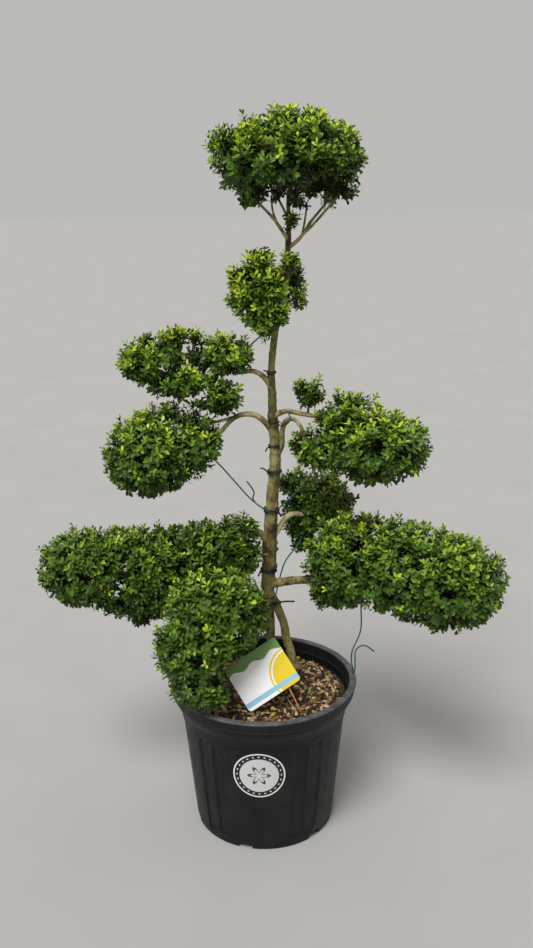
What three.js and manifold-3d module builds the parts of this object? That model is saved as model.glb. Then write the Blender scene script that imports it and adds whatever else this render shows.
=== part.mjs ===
// A cloud-pruned small-leaved holly in a round nursery pot, in millimetres, +Z up.
// The origin is the centre of the pot's flat underside, and -Y is the side with the round label.
// A single trunk, joined near its foot by a second stem, carries one dome at the tip and nine
// clipped clouds of foliage on tapering boughs.
import * as THREE from 'three';
import { mergeVertices } from 'three/addons/utils/BufferGeometryUtils.js';
import Module from 'manifold-3d';

const wasm = await Module();
wasm.setup();

// Gap that every pair of touching pieces keeps, and the shortest edge that a join or cut leaves.
const GAP = 0.3;
const SHORTEST_EDGE = 0.02;

// Pot: heights are measured from the flat underside.
const POT_HEIGHT = 370;
const RIM_RADIUS = 227;
const RIM_INNER_RADIUS = 210;
const RIM_ROUNDING = 5;
const LIP_DEPTH = 29;
const LIP_BOTTOM_RADIUS = 222;
const THROAT_RADIUS = 206;
const SHOULDER_DEPTH = 82;
const BODY_TOP_RADIUS = 198.5;
const BASE_RADIUS = 170.5;
const BASE_ROUNDING = 4;
const WALL = 6;
const FLOOR = 5;
const POT_SEGMENTS = 32;

// The shoulder draws in from the lip to the body in a soft hollow. Each row is [radius, depth below
// the rim].
const SHOULDER = [[201.5, 80], [204, 62], [213.5, 45], [217.5, 29]];

// The smooth front panel, and the pairs of upright flutes that part it from the next panels.
const PANEL_COUNT = 5;
const FRONT_PANEL_ANGLE = -3.5;
const FLUTE_SPACING = 13;
const FLUTE_WIDTH = 36;
const FLUTE_DEPTH = 3.5;
const FLUTE_BOTTOM = 34;
const FLUTE_TOP = 264;

// Drainage notches through the lower corner of the pot.
const NOTCH_COUNT = 6;
const FIRST_NOTCH_ANGLE = -16;
const NOTCH_WIDTH = 44;
const NOTCH_HEIGHT = 13;
const NOTCH_REACH = 24;

// Potting mix: flat in the middle, lower at the wall.
const MIX_TOP = 345;
const MIX_EDGE_TOP = 329;
const MIX_FLAT_RADIUS = 152;

// Round label on the front panel.
const LABEL_RADIUS = 63;
const LABEL_THICKNESS = 0.6;
const LABEL_HEIGHT = 217;
const LABEL_SIDES = 28;

// Plant tag: a card on a thin stick, leaning back and turned in its own plane.
const CARD_WIDTH = 141;
const CARD_HEIGHT = 116;
const CARD_THICKNESS = 1.2;
const CARD_CORNER = 8;
const CARD_CENTRE = [-2, -99, 427];
const CARD_LEAN_BACK = 28;
const CARD_TURN = 32;
const STICK_FOOT = [88, -133, 345.5];
const STICK_TOP = [52, -101, 409];
const STICK_RADIUS = 2;

// Limbs, foot first. Each point is [x, y, z, radius]. A limb that grows out of another starts on
// that limb's axis and is cut clear of it. One that is onGround is cut flat on the potting mix.
const GROUND = MIX_TOP + GAP;
const LIMBS = [
  {
    name: 'trunk',
    onGround: true,
    sides: 9,
    points: [
      [33, 111, MIX_TOP - 12, 22], [27, 113, 362, 12.5], [20, 115, 409, 11], [16, 108, 490, 12],
      [14, 101, 548, 16], [17, 95, 636, 16.5], [26, 80, 796, 14.5], [34, 65, 900, 13],
      [31, 56, 985, 11], [27, 45, 1116, 7.8], [36, 35, 1206, 7], [58, 30, 1299, 6.5],
      [66, 22, 1411, 6], [66, 20, 1498, 3.5],
    ],
  },
  {
    name: 'second_stem',
    from: ['trunk'],
    onGround: true,
    sides: 7,
    points: [
      [80, 97, MIX_TOP - 12, 20], [74, 99, 362, 11], [61, 107, 412, 10], [50, 107, 468, 10],
      [31, 104, 520, 10], [15, 101, 556, 9],
    ],
  },
  {
    name: 'bough_upper_left',
    from: ['trunk'],
    sides: 6,
    points: [[28, 46, 1075, 7], [8, 48, 1104, 6.2], [-15, 48, 1116, 5.5], [-45, 47, 1114, 5]],
  },
  {
    name: 'bough_middle_left',
    from: ['trunk'],
    sides: 6,
    points: [
      [31, 58, 968, 8], [11, 50, 996, 7], [-12, 45, 1014, 6.2], [-39, 40, 1017, 6],
      [-60, 35, 1010, 5.6], [-83, 30, 988, 5], [-109, 25, 959, 4.4],
    ],
  },
  {
    name: 'bough_middle_left_fork',
    from: ['bough_middle_left'],
    sides: 5,
    points: [[-48, 38, 1015, 4.5], [-74, 40, 1007, 3.8], [-104, 42, 999, 3.2]],
  },
  {
    name: 'bough_middle_right',
    from: ['trunk'],
    sides: 6,
    points: [[30, 52, 1010, 7], [60, 40, 1024, 6], [91, 30, 1020, 5.2], [126, 22, 1015, 4.6]],
  },
  {
    name: 'bough_middle_right_lower',
    from: ['trunk', 'bough_middle_right'],
    sides: 6,
    points: [
      [33, 64, 905, 6.5], [49, 55, 935, 6.2], [51, 44, 975, 5.8], [58, 20, 1005, 5.4],
      [75, 10, 1012, 5], [90, 8, 998, 4.4], [98, 10, 982, 4],
    ],
  },
  {
    name: 'bough_back',
    from: ['trunk'],
    sides: 6,
    points: [
      [20, 90, 690, 9], [47, 100, 725, 7.4], [62, 105, 745, 6.6], [80, 112, 750, 6],
      [100, 124, 744, 5.4],
    ],
  },
  {
    name: 'bough_lower_right',
    from: ['trunk'],
    sides: 6,
    points: [[15, 99, 568, 12], [56, 85, 583, 10.4], [88, 70, 592, 9.6], [117, 60, 598, 9]],
  },
  {
    name: 'bough_lower_left',
    from: ['trunk'],
    sides: 6,
    points: [[19, 92, 664, 10], [5, 88, 700, 8.4], [-12, 82, 716, 7.6], [-34, 72, 716, 7]],
  },
  {
    name: 'bough_front',
    from: ['trunk'],
    sides: 6,
    points: [[14, 100, 540, 10], [-8, 60, 560, 9], [-34, 16, 575, 8], [-50, -16, 583, 7.4]],
  },
  {
    name: 'crown_bough_left',
    from: ['trunk'],
    sides: 5,
    points: [[65, 22, 1408, 4.4], [50, 10, 1431, 3.8], [33, 0, 1454, 3.2], [10, -10, 1478, 2.8]],
  },
  {
    name: 'crown_bough_left_inner',
    from: ['crown_bough_left'],
    sides: 5,
    points: [[42, 5, 1442, 2.8], [33, 15, 1466, 2.4], [30, 20, 1493, 2]],
  },
  {
    name: 'crown_bough_left_back',
    from: ['trunk'],
    sides: 5,
    points: [[67, 20, 1446, 3.2], [55, 30, 1474, 2.7], [38, 45, 1505, 2.2]],
  },
  {
    name: 'crown_bough_right',
    from: ['trunk'],
    sides: 5,
    points: [
      [65, 24, 1390, 5], [85, 20, 1405, 4.4], [98, 20, 1419, 3.8], [113, 25, 1442, 3.2],
      [140, 30, 1474, 2.6],
    ],
  },
  {
    name: 'crown_bough_right_outer',
    from: ['crown_bough_right'],
    sides: 5,
    points: [[97, 20, 1418, 3.2], [120, 0, 1441, 2.8], [153, -18, 1478, 2.4]],
  },
  {
    name: 'crown_bough_right_inner',
    from: ['crown_bough_right'],
    sides: 5,
    points: [[96, 20, 1417, 2.8], [102, 40, 1444, 2.3], [107, 52, 1475, 1.9]],
  },
];

// Clipped masses. Each space is a few overlapping lobes, as [x, y, z] centres and half sizes.
// stems are the limbs whose tips, or side, the mass's own stems grow on from.
const MASSES = [
  {
    name: 'crown_dome',
    seed: 11,
    stems: ['trunk', 'crown_bough_left', 'crown_bough_left_inner', 'crown_bough_left_back',
      'crown_bough_right', 'crown_bough_right_outer', 'crown_bough_right_inner'],
    lobes: [
      { at: [66, 20, 1576], half: [172, 150, 84] },
      { at: [80, 20, 1616], half: [112, 112, 70] },
      { at: [-8, 20, 1528], half: [62, 62, 46] },
      { at: [148, 20, 1530], half: [60, 62, 48] },
      { at: [72, 20, 1520], half: [80, 95, 48] },
    ],
  },
  {
    name: 'upper_pom',
    seed: 12,
    stems: ['trunk'],
    fromSide: true,
    lobes: [
      { at: [6, -2, 1307], half: [76, 66, 79] },
      { at: [12, 0, 1236], half: [46, 42, 48] },
      { at: [82, 58, 1307], half: [29, 36, 66] },
      { at: [46, 62, 1300], half: [50, 42, 56] },
    ],
  },
  {
    name: 'upper_left_cloud',
    seed: 43,
    stems: ['bough_upper_left'],
    lobes: [
      { at: [-80, 50, 1155], half: [77, 66, 55] },
      { at: [-177, 40, 1104], half: [82, 62, 52] },
      { at: [-259, 30, 1143], half: [69, 62, 53] },
      { at: [-202, 40, 1174], half: [47, 50, 50] },
      { at: [-88, 32, 1065], half: [54, 48, 54] },
    ],
  },
  {
    name: 'middle_left_cloud',
    seed: 14,
    stems: ['bough_middle_left', 'bough_middle_left_fork'],
    lobes: [
      { at: [-153, 30, 950], half: [65, 66, 64] },
      { at: [-255, 20, 933], half: [115, 105, 104] },
    ],
  },
  {
    name: 'middle_right_cloud',
    seed: 15,
    stems: ['bough_middle_right', 'bough_middle_right_lower'],
    lobes: [
      { at: [188, 24, 1006], half: [70, 58, 54] },
      { at: [137, 18, 950], half: [60, 58, 54] },
      { at: [260, 0, 952], half: [133, 115, 93] },
    ],
  },
  {
    name: 'middle_right_sprig',
    seed: 16,
    stems: ['bough_middle_right'],
    fromSide: true,
    lobes: [{ at: [116, 30, 1070], half: [39, 34, 37] }],
  },
  {
    name: 'back_cloud',
    seed: 17,
    stems: ['bough_back'],
    lobes: [
      { at: [141, 175, 768], half: [95, 84, 86] },
      { at: [104, 180, 703], half: [50, 54, 46] },
    ],
  },
  {
    name: 'lower_right_cloud',
    seed: 38,
    stems: ['bough_lower_right'],
    lobes: [
      { at: [204, 48, 648], half: [112, 95, 118] },
      { at: [327, 0, 655], half: [128, 110, 122] },
      { at: [446, -60, 638], half: [129, 115, 122] },
    ],
  },
  {
    name: 'lower_left_cloud',
    seed: 59,
    stems: ['bough_lower_left'],
    lobes: [
      { at: [-116, 66, 666], half: [121, 92, 92] },
      { at: [-270, 50, 618], half: [116, 94, 111] },
      { at: [-421, 50, 643], half: [128, 110, 99] },
    ],
  },
  {
    name: 'front_cloud',
    seed: 20,
    stems: ['bough_front'],
    lobes: [
      { at: [-104, -98, 600], half: [122, 92, 100] },
      { at: [-142, -132, 510], half: [124, 94, 102] },
      { at: [-136, -172, 433], half: [68, 56, 46] },
    ],
  },
];

// Foliage: the core stops short of the space's edge, and the leafy twigs stand out of it.
const CORE_INSET = 20;
const CORE_LEAST = 0.76;
const CORE_ROUGHNESS = 0.1;
const CORE_DETAIL = 2;
const SMALL_LOBE = 100;
const SPRAY_AREA = 16000;
const LEAF_LENGTH = 54;
const LEAF_WIDTH = 30;
const LEAF_THICKNESS = 2.4;
const LEAF_CUP = 4;
const LEAF_SCALES = [1, 0.9, 0.8, 0.7, 0.6, 0.5];

// Heights of a twig's rings of corners as shares of the way from core to edge. The leaves grow
// between the last two rings.
const TWIG_SIDES = 3;
const TWIG_RINGS = [-0.6, 0.15, 0.6];
const TWIG_RADII = [5, 4.5, 3.5];
const LEAST_OPENING = 68;
const MOST_OPENING = 96;
const LEAF_ROOT_SHARE = 0.4;
const STEM_SIDES = 4;

// How far a leaf may pass its own space's edge, and how clear it stays of everything else. A spray
// is left out where the edge it would reach lies this deep in another lobe of the same mass.
const EDGE_SLACK = 6;
const NEIGHBOUR_CLEARANCE = 3;
const LIMB_CLEARANCE = 2;
const CARD_CLEARANCE = 12;
const BURIED_BELOW = 0.93;
const GOLDEN_ANGLE = Math.PI * (3 - Math.sqrt(5));

const BARK = { color: 0x6f6650, roughness: 0.9, metalness: 0 };
const FOLIAGE = { color: 0x3f6a2a, roughness: 0.55, metalness: 0 };
const POT_PLASTIC = { color: 0x26282a, roughness: 0.5, metalness: 0 };
const BARK_MULCH = { color: 0x5b4330, roughness: 0.95, metalness: 0 };
const PRINTED_CARD = { color: 0xf2f1e6, roughness: 0.45, metalness: 0 };
const LABEL_PRINT = { color: 0xb9bbbc, roughness: 0.5, metalness: 0 };
const SPLIT_CANE = { color: 0xb9793a, roughness: 0.7, metalness: 0 };

const vector = (x, y, z) => new THREE.Vector3(x, y, z);
const radians = THREE.MathUtils.degToRad;

// A direction in plan, counted in degrees from the front, -Y, towards +X.
const outwards = (degrees) => vector(Math.sin(radians(degrees)), -Math.cos(radians(degrees)), 0);

// A repeatable stream of numbers from 0 to 1.
function seededRandom(seed) {
  let state = seed * 2654435761;
  return () => {
    state = (state + 0x6d2b79f5) | 0;
    let mixed = Math.imul(state ^ (state >>> 15), 1 | state);
    mixed = (mixed + Math.imul(mixed ^ (mixed >>> 7), 61 | mixed)) ^ mixed;
    return ((mixed ^ (mixed >>> 14)) >>> 0) / 4294967296;
  };
}

// Closed geometry to a solid: corners merged, collapsed triangles left out.
function solidFrom(geometry) {
  const bare = geometry.clone();
  bare.deleteAttribute('normal');
  bare.deleteAttribute('uv');
  const merged = mergeVertices(bare, 1e-3);
  const corners = merged.index.array;
  const kept = [];
  for (let i = 0; i < corners.length; i += 3) {
    const [a, b, c] = corners.slice(i, i + 3);
    if (a !== b && b !== c && c !== a) kept.push(a, b, c);
  }
  return new wasm.Manifold(new wasm.Mesh({
    numProp: 3,
    vertProperties: Float32Array.from(merged.attributes.position.array),
    triVerts: Uint32Array.from(kept),
    tolerance: SHORTEST_EDGE,
  }));
}

function geometryFrom(solid) {
  const mesh = solid.getMesh();
  const geometry = new THREE.BufferGeometry();
  geometry.setAttribute('position', new THREE.BufferAttribute(mesh.vertProperties, 3));
  geometry.setIndex(new THREE.BufferAttribute(mesh.triVerts, 1));
  geometry.computeVertexNormals();
  return geometry;
}

// The largest closed shell of a solid, once its nearest corners are merged: sealed hollows are
// filled and loose scraps dropped.
function mainBody(solid) {
  const shells = solidFrom(geometryFrom(solid)).decompose();
  const largest = shells.reduce((best, shell) => (shell.volume() > best.volume() ? shell : best));
  return shells.length === 1 ? largest : mainBody(largest);
}

const meshes = [];
function addMesh(name, geometry, finish) {
  const mesh = new THREE.Mesh(geometry, new THREE.MeshStandardMaterial(finish));
  mesh.name = name;
  meshes.push(mesh);
  return mesh;
}

// Turns a profile of [radius, height] pairs about the Z axis.
function turned(profile) {
  const points = profile.map(([radius, height]) => new THREE.Vector2(radius, height));
  return new THREE.LatheGeometry(points, POT_SEGMENTS).rotateX(Math.PI / 2);
}

// Points of a quarter round from one angle to another, as [radius, height] pairs.
function quarterRound(centreRadius, centreHeight, rounding, startDegrees, endDegrees, steps) {
  return Array.from({ length: steps + 1 }, (_, i) => {
    const angle = radians(startDegrees + ((endDegrees - startDegrees) * i) / steps);
    return [
      centreRadius + rounding * Math.cos(angle),
      centreHeight + rounding * Math.sin(angle),
    ];
  });
}

const SHOULDER_BOTTOM = POT_HEIGHT - SHOULDER_DEPTH;
const DRAFT = (BODY_TOP_RADIUS - BASE_RADIUS) / (SHOULDER_BOTTOM - BASE_ROUNDING);
const DRAFT_ANGLE = Math.atan(DRAFT);
const wallRadius = (height) => BASE_RADIUS + (height - BASE_ROUNDING) * DRAFT;

// Inside, the wall flares from the body's top to the throat below the lip.
const LIP_BOTTOM = POT_HEIGHT - LIP_DEPTH;
const FLARE = (THROAT_RADIUS - BODY_TOP_RADIUS + WALL) / (LIP_BOTTOM - SHOULDER_BOTTOM);
const throatRadius = (height) => BODY_TOP_RADIUS - WALL + (height - SHOULDER_BOTTOM) * FLARE;

function fluteCutter(angle) {
  const slant = Math.cos(DRAFT_ANGLE);
  const length = (FLUTE_TOP - FLUTE_BOTTOM) / slant;
  const outline = new THREE.Shape();
  outline.moveTo(-FLUTE_WIDTH / 2, 0);
  outline.absarc(0, 0, FLUTE_WIDTH / 2, Math.PI, 2 * Math.PI, false);
  outline.absarc(0, length, FLUTE_WIDTH / 2, 0, Math.PI, false);
  const depth = 3 * FLUTE_DEPTH;
  const cutter = new THREE.ExtrudeGeometry(outline, { depth, bevelEnabled: false, curveSegments: 2 });
  const foot = outwards(angle).multiplyScalar(wallRadius(FLUTE_BOTTOM) - FLUTE_DEPTH);
  const out = outwards(angle).multiplyScalar(Math.cos(DRAFT_ANGLE)).setZ(-Math.sin(DRAFT_ANGLE));
  const side = vector(0, 0, 1).cross(out).normalize();
  const along = out.clone().cross(side);
  cutter.applyMatrix4(new THREE.Matrix4().makeBasis(side, along, out));
  return cutter.translate(foot.x, foot.y, FLUTE_BOTTOM);
}

function notchCutter(angle) {
  const outline = new THREE.Shape();
  const half = NOTCH_WIDTH / 2;
  outline.moveTo(-half, -NOTCH_HEIGHT);
  outline.lineTo(half, -NOTCH_HEIGHT);
  outline.lineTo(half - NOTCH_HEIGHT / 2, NOTCH_HEIGHT);
  outline.lineTo(-half + NOTCH_HEIGHT / 2, NOTCH_HEIGHT);
  const out = outwards(angle);
  const cutter = new THREE.ExtrudeGeometry(outline, { depth: 2 * NOTCH_REACH, bevelEnabled: false });
  const side = vector(0, 0, 1).cross(out).normalize();
  cutter.applyMatrix4(new THREE.Matrix4().makeBasis(side, vector(0, 0, 1), out));
  const start = out.multiplyScalar(BASE_RADIUS - NOTCH_REACH);
  return cutter.translate(start.x, start.y, 0);
}

function makePot() {
  const outer = [
    [0, 0],
    ...quarterRound(BASE_RADIUS - BASE_ROUNDING, BASE_ROUNDING, BASE_ROUNDING, -90, 0, 2),
    [BODY_TOP_RADIUS, SHOULDER_BOTTOM],
    ...SHOULDER.map(([radius, depth]) => [radius, POT_HEIGHT - depth]),
    [LIP_BOTTOM_RADIUS, LIP_BOTTOM],
    ...quarterRound(RIM_RADIUS - RIM_ROUNDING, POT_HEIGHT - RIM_ROUNDING, RIM_ROUNDING, 0, 90, 2),
  ];
  const inner = [
    [RIM_INNER_RADIUS + 2, POT_HEIGHT],
    [RIM_INNER_RADIUS, POT_HEIGHT - 2],
    [THROAT_RADIUS, LIP_BOTTOM],
    [BODY_TOP_RADIUS - WALL, SHOULDER_BOTTOM],
    [wallRadius(FLOOR) - WALL, FLOOR],
    [0, FLOOR],
  ];
  let pot = solidFrom(turned([...outer, ...inner]));
  for (let i = 0; i < PANEL_COUNT; i += 1) {
    const groupAngle = FRONT_PANEL_ANGLE + (i + 0.5) * (360 / PANEL_COUNT);
    for (const side of [-0.5, 0.5]) {
      pot = pot.subtract(solidFrom(fluteCutter(groupAngle + side * FLUTE_SPACING)));
    }
  }
  for (let i = 0; i < NOTCH_COUNT; i += 1) {
    const angle = FIRST_NOTCH_ANGLE + (i * 360) / NOTCH_COUNT;
    pot = pot.subtract(solidFrom(notchCutter(angle)));
  }
  addMesh('nursery_pot', geometryFrom(mainBody(pot)), POT_PLASTIC);
}

function makePottingMix() {
  const bottom = FLOOR + GAP;
  const slope = (BODY_TOP_RADIUS - wallRadius(FLOOR)) / (SHOULDER_BOTTOM - FLOOR);
  const edgeGap = GAP * (1 + FLARE);
  const profile = [
    [0, bottom],
    [wallRadius(FLOOR) - WALL - GAP + GAP * slope, bottom],
    [throatRadius(SHOULDER_BOTTOM) - edgeGap, SHOULDER_BOTTOM],
    [throatRadius(MIX_EDGE_TOP) - edgeGap, MIX_EDGE_TOP],
    [MIX_FLAT_RADIUS, MIX_TOP],
    [0, MIX_TOP],
  ];
  addMesh('potting_mix', geometryFrom(solidFrom(turned(profile))), BARK_MULCH);
}

// The label is the part of a thin shell round the wall that a round punch takes out.
function makeLabel() {
  const bottom = LABEL_HEIGHT - 2 * LABEL_RADIUS;
  const top = LABEL_HEIGHT + LABEL_RADIUS + 10;
  const shell = turned([
    [wallRadius(bottom) + GAP, bottom],
    [wallRadius(bottom) + GAP + LABEL_THICKNESS, bottom],
    [wallRadius(top) + GAP + LABEL_THICKNESS, top],
    [wallRadius(top) + GAP, top],
    [wallRadius(bottom) + GAP, bottom],
  ]);
  const punch = new THREE.CylinderGeometry(LABEL_RADIUS, LABEL_RADIUS, RIM_RADIUS, LABEL_SIDES);
  punch.translate(0, -RIM_RADIUS, 0).rotateZ(radians(FRONT_PANEL_ANGLE)).translate(0, 0, LABEL_HEIGHT);
  const label = solidFrom(shell).intersect(solidFrom(punch));
  addMesh('pot_label', geometryFrom(mainBody(label)), LABEL_PRINT);
}

// A frame in the card's plane: its centre is at the origin and its face towards +Z.
function cardPlacement() {
  const lean = radians(90 - CARD_LEAN_BACK);
  return new THREE.Matrix4()
    .makeTranslation(...CARD_CENTRE)
    .multiply(new THREE.Matrix4().makeRotationX(lean))
    .multiply(new THREE.Matrix4().makeRotationZ(radians(CARD_TURN)));
}

function makeTag() {
  const x = CARD_WIDTH / 2;
  const y = CARD_HEIGHT / 2;
  const outline = new THREE.Shape();
  outline.absarc(x - CARD_CORNER, y - CARD_CORNER, CARD_CORNER, 0, Math.PI / 2);
  outline.absarc(CARD_CORNER - x, y - CARD_CORNER, CARD_CORNER, Math.PI / 2, Math.PI);
  outline.absarc(CARD_CORNER - x, CARD_CORNER - y, CARD_CORNER, Math.PI, 1.5 * Math.PI);
  outline.absarc(x - CARD_CORNER, CARD_CORNER - y, CARD_CORNER, 1.5 * Math.PI, 2 * Math.PI);
  const card = new THREE.ExtrudeGeometry(outline, {
    depth: CARD_THICKNESS,
    bevelEnabled: false,
    curveSegments: 3,
  });
  addMesh('plant_tag', card, PRINTED_CARD).applyMatrix4(cardPlacement());
  const foot = vector(...STICK_FOOT);
  const top = vector(...STICK_TOP);
  const stick = new THREE.CylinderGeometry(STICK_RADIUS, STICK_RADIUS, foot.distanceTo(top), 8);
  const mesh = addMesh('tag_stick', stick, SPLIT_CANE);
  mesh.position.copy(foot).lerp(top, 0.5);
  mesh.quaternion.setFromUnitVectors(vector(0, 1, 0), top.sub(foot).normalize());
}

function limbCurve(points) {
  return new THREE.CatmullRomCurve3(points.map(([x, y, z]) => vector(x, y, z)), false, 'centripetal');
}

// A tapered limb through [x, y, z, radius] points, with flat ends, grown all round by extra.
function limbGeometry(points, sides, extra = 0) {
  const curve = limbCurve(points);
  const steps = 2 * (points.length - 1);
  const chord = curve.getPoint(1).sub(curve.getPoint(0));
  const upright = Math.abs(chord.z) > Math.abs(chord.x) + Math.abs(chord.y);
  const across = upright ? vector(1, 0, 0) : vector(0, 0, 1);
  const positions = [];
  const faces = [];
  for (let i = 0; i <= steps; i += 1) {
    const t = i / steps;
    const centre = curve.getPoint(t);
    const tangent = curve.getTangent(t);
    const first = across.clone().addScaledVector(tangent, -across.dot(tangent)).normalize();
    const second = tangent.clone().cross(first);
    const place = t * (points.length - 1);
    const before = Math.min(Math.floor(place), points.length - 2);
    const radius = THREE.MathUtils.lerp(points[before][3], points[before + 1][3], place - before) + extra;
    for (let side = 0; side < sides; side += 1) {
      const angle = (2 * Math.PI * side) / sides;
      const corner = centre.clone()
        .addScaledVector(first, radius * Math.cos(angle))
        .addScaledVector(second, radius * Math.sin(angle));
      positions.push(corner.x, corner.y, corner.z);
    }
  }
  for (let i = 0; i < steps; i += 1) {
    for (let side = 0; side < sides; side += 1) {
      const a = i * sides + side;
      const b = i * sides + ((side + 1) % sides);
      faces.push(a, b, b + sides, a, b + sides, a + sides);
    }
  }
  const last = steps * sides;
  for (let side = 1; side < sides - 1; side += 1) {
    faces.push(0, side + 1, side, last, last + side, last + side + 1);
  }
  const geometry = new THREE.BufferGeometry();
  geometry.setAttribute('position', new THREE.Float32BufferAttribute(positions, 3));
  geometry.setIndex(faces);
  return geometry;
}

// What foliage has to keep clear of: points along each limb, with the radius there.
function limbSamples(limb) {
  const curve = limbCurve(limb.points);
  const steps = 8 * (limb.points.length - 1);
  return Array.from({ length: steps + 1 }, (_, i) => {
    const place = (i / steps) * (limb.points.length - 1);
    const before = Math.min(Math.floor(place), limb.points.length - 2);
    return {
      at: curve.getPoint(i / steps),
      radius: THREE.MathUtils.lerp(limb.points[before][3], limb.points[before + 1][3], place - before),
    };
  });
}

// Everything below the flat cuts of the stems.
function belowGround() {
  const box = new THREE.BoxGeometry(2 * RIM_RADIUS, 2 * RIM_RADIUS, POT_HEIGHT);
  return solidFrom(box.translate(0, 0, GROUND - POT_HEIGHT / 2));
}

const limbSolids = {};
const limbPaths = {};
function makeLimbs() {
  for (const limb of LIMBS) {
    let solid = solidFrom(limbGeometry(limb.points, limb.sides));
    for (const parent of limb.from ?? []) {
      solid = solid.subtract(limbSolids[parent].grown);
    }
    if (limb.onGround) solid = solid.subtract(belowGround());
    limbSolids[limb.name] = { grown: solidFrom(limbGeometry(limb.points, limb.sides, GAP)) };
    limbPaths[limb.name] = limbSamples(limb);
    const geometry = geometryFrom(mainBody(solid));
    addMesh(limb.name, geometry, BARK);
  }
}

// Less than 1 inside a lobe whose half sizes are grown by extra.
function lobeDistance(lobe, point, extra = 0) {
  const terms = [point.x - lobe.at[0], point.y - lobe.at[1], point.z - lobe.at[2]];
  return Math.hypot(...terms.map((term, axis) => term / (lobe.half[axis] + extra)));
}

const insideMass = (mass, point, extra) => mass.lobes.some((lobe) => lobeDistance(lobe, point, extra) < 1);

function clearOfLimbs(point, clearance) {
  return Object.values(limbPaths).every((path) => path.every(
    (sample) => sample.at.distanceTo(point) > sample.radius + clearance));
}

// The card's own frame makes the test for keeping clear of it a simple box.
const toCard = cardPlacement().invert();
function clearOfCard(point, clearance) {
  const local = point.clone().applyMatrix4(toCard);
  return Math.abs(local.x) > CARD_WIDTH / 2 + clearance
    || Math.abs(local.y) > CARD_HEIGHT / 2 + clearance
    || local.z > CARD_THICKNESS + clearance
    || local.z < -clearance - 2 * STICK_RADIUS;
}

function coreHalf(lobe) {
  return lobe.half.map((half) => Math.max(half - CORE_INSET, half * CORE_LEAST));
}

// A rough ball: each corner of the smooth one is pulled in by a seeded share.
function lobeSolid(at, half, random) {
  const detail = Math.max(...half) < SMALL_LOBE ? CORE_DETAIL - 1 : CORE_DETAIL;
  const smooth = new THREE.IcosahedronGeometry(1, detail);
  smooth.deleteAttribute('normal');
  smooth.deleteAttribute('uv');
  const ball = mergeVertices(smooth, 1e-3);
  const corners = ball.attributes.position;
  for (let i = 0; i < corners.count; i += 1) {
    const corner = new THREE.Vector3().fromBufferAttribute(corners, i);
    corner.multiplyScalar(1 - CORE_ROUGHNESS * random());
    corners.setXYZ(i, ...corner.toArray());
  }
  return solidFrom(ball.scale(...half).translate(...at));
}

// Corners of a leaf past its root: left edge, under, right edge, over, tip.
function leafCorners(root, direction, normal, scale) {
  const side = normal.clone().cross(direction).normalize();
  const up = direction.clone().cross(side);
  const length = LEAF_LENGTH * scale;
  const width = LEAF_WIDTH * scale;
  const place = (along, across, lift) => root.clone()
    .addScaledVector(direction, along)
    .addScaledVector(side, across)
    .addScaledVector(up, lift);
  return [
    place(length * 0.5, -width / 2, LEAF_CUP),
    place(length * 0.5, 0, -LEAF_THICKNESS / 2),
    place(length * 0.5, width / 2, LEAF_CUP),
    place(length * 0.5, 0, LEAF_THICKNESS / 2),
    place(length, 0, 0),
  ];
}

// The faces of a leaf that grows out of one triangle of a twig, whose corners are a, b and c.
function leafFaces([a, b, c], first) {
  const [left, under, right, over, tip] = [0, 1, 2, 3, 4].map((i) => first + i);
  return [
    [a, b, under], [under, b, right], [a, under, left], [b, c, right], [c, a, left],
    [right, c, over], [c, left, over],
    [under, right, tip], [left, under, tip], [right, over, tip], [over, left, tip],
  ];
}

// Directions spread evenly over a ball by the golden angle.
function evenDirections(count, random) {
  const start = random() * 2 * Math.PI;
  return Array.from({ length: count }, (_, i) => {
    const height = 1 - (2 * (i + 0.5)) / count;
    const reach = Math.sqrt(1 - height * height);
    const angle = start + i * GOLDEN_ANGLE;
    return vector(reach * Math.cos(angle), reach * Math.sin(angle), height);
  });
}

function lobeArea(half) {
  const power = 1.6;
  const [a, b, c] = half.map((size) => size ** power);
  return 4 * Math.PI * ((a * b + b * c + c * a) / 3) ** (1 / power);
}

// The stems that grow on from the limbs: each starts 0.3 mm past a limb's tip, or off its side.
function stemStart(mass, limbName, target) {
  const path = limbPaths[limbName];
  if (!mass.fromSide) {
    const tip = path[path.length - 1];
    const heading = tip.at.clone().sub(path[path.length - 2].at).normalize();
    return { at: tip.at.clone().addScaledVector(heading, GAP), radius: tip.radius, heading };
  }
  const near = path.reduce((best, sample) => (
    sample.at.distanceTo(target) < best.at.distanceTo(target) ? sample : best));
  const heading = target.clone().sub(near.at).normalize();
  const radius = near.radius * 0.6;
  return { at: near.at.clone().addScaledVector(heading, near.radius + GAP), radius, heading };
}

function stemSolid(mass, limbName) {
  const lobe = mass.lobes.reduce((best, candidate) => {
    const path = limbPaths[limbName];
    const tip = path[path.length - 1].at;
    return vector(...candidate.at).distanceTo(tip) < vector(...best.at).distanceTo(tip) ? candidate : best;
  });
  const target = vector(...(mass.fromSide ? mass.lobes[0] : lobe).at);
  const start = stemStart(mass, limbName, target);
  const lead = start.at.clone().addScaledVector(start.heading, 3 * start.radius);
  return solidFrom(limbGeometry([
    [...start.at.toArray(), start.radius],
    [...lead.toArray(), start.radius * 0.9],
    [...target.toArray(), start.radius * 0.5],
  ], STEM_SIDES));
}

function linkSolids(mass) {
  return mass.lobes.slice(1).map((lobe, i) => {
    const centre = vector(...lobe.at);
    const earlier = mass.lobes.slice(0, i + 1).map((other) => vector(...other.at));
    const parent = earlier.reduce((best, other) => (
      other.distanceTo(centre) < best.distanceTo(centre) ? other : best));
    const points = [[...parent.toArray(), 5], [...parent.lerp(centre, 0.5).toArray(), 4.5], [...lobe.at, 4]];
    return solidFrom(limbGeometry(points, STEM_SIDES));
  });
}

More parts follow.
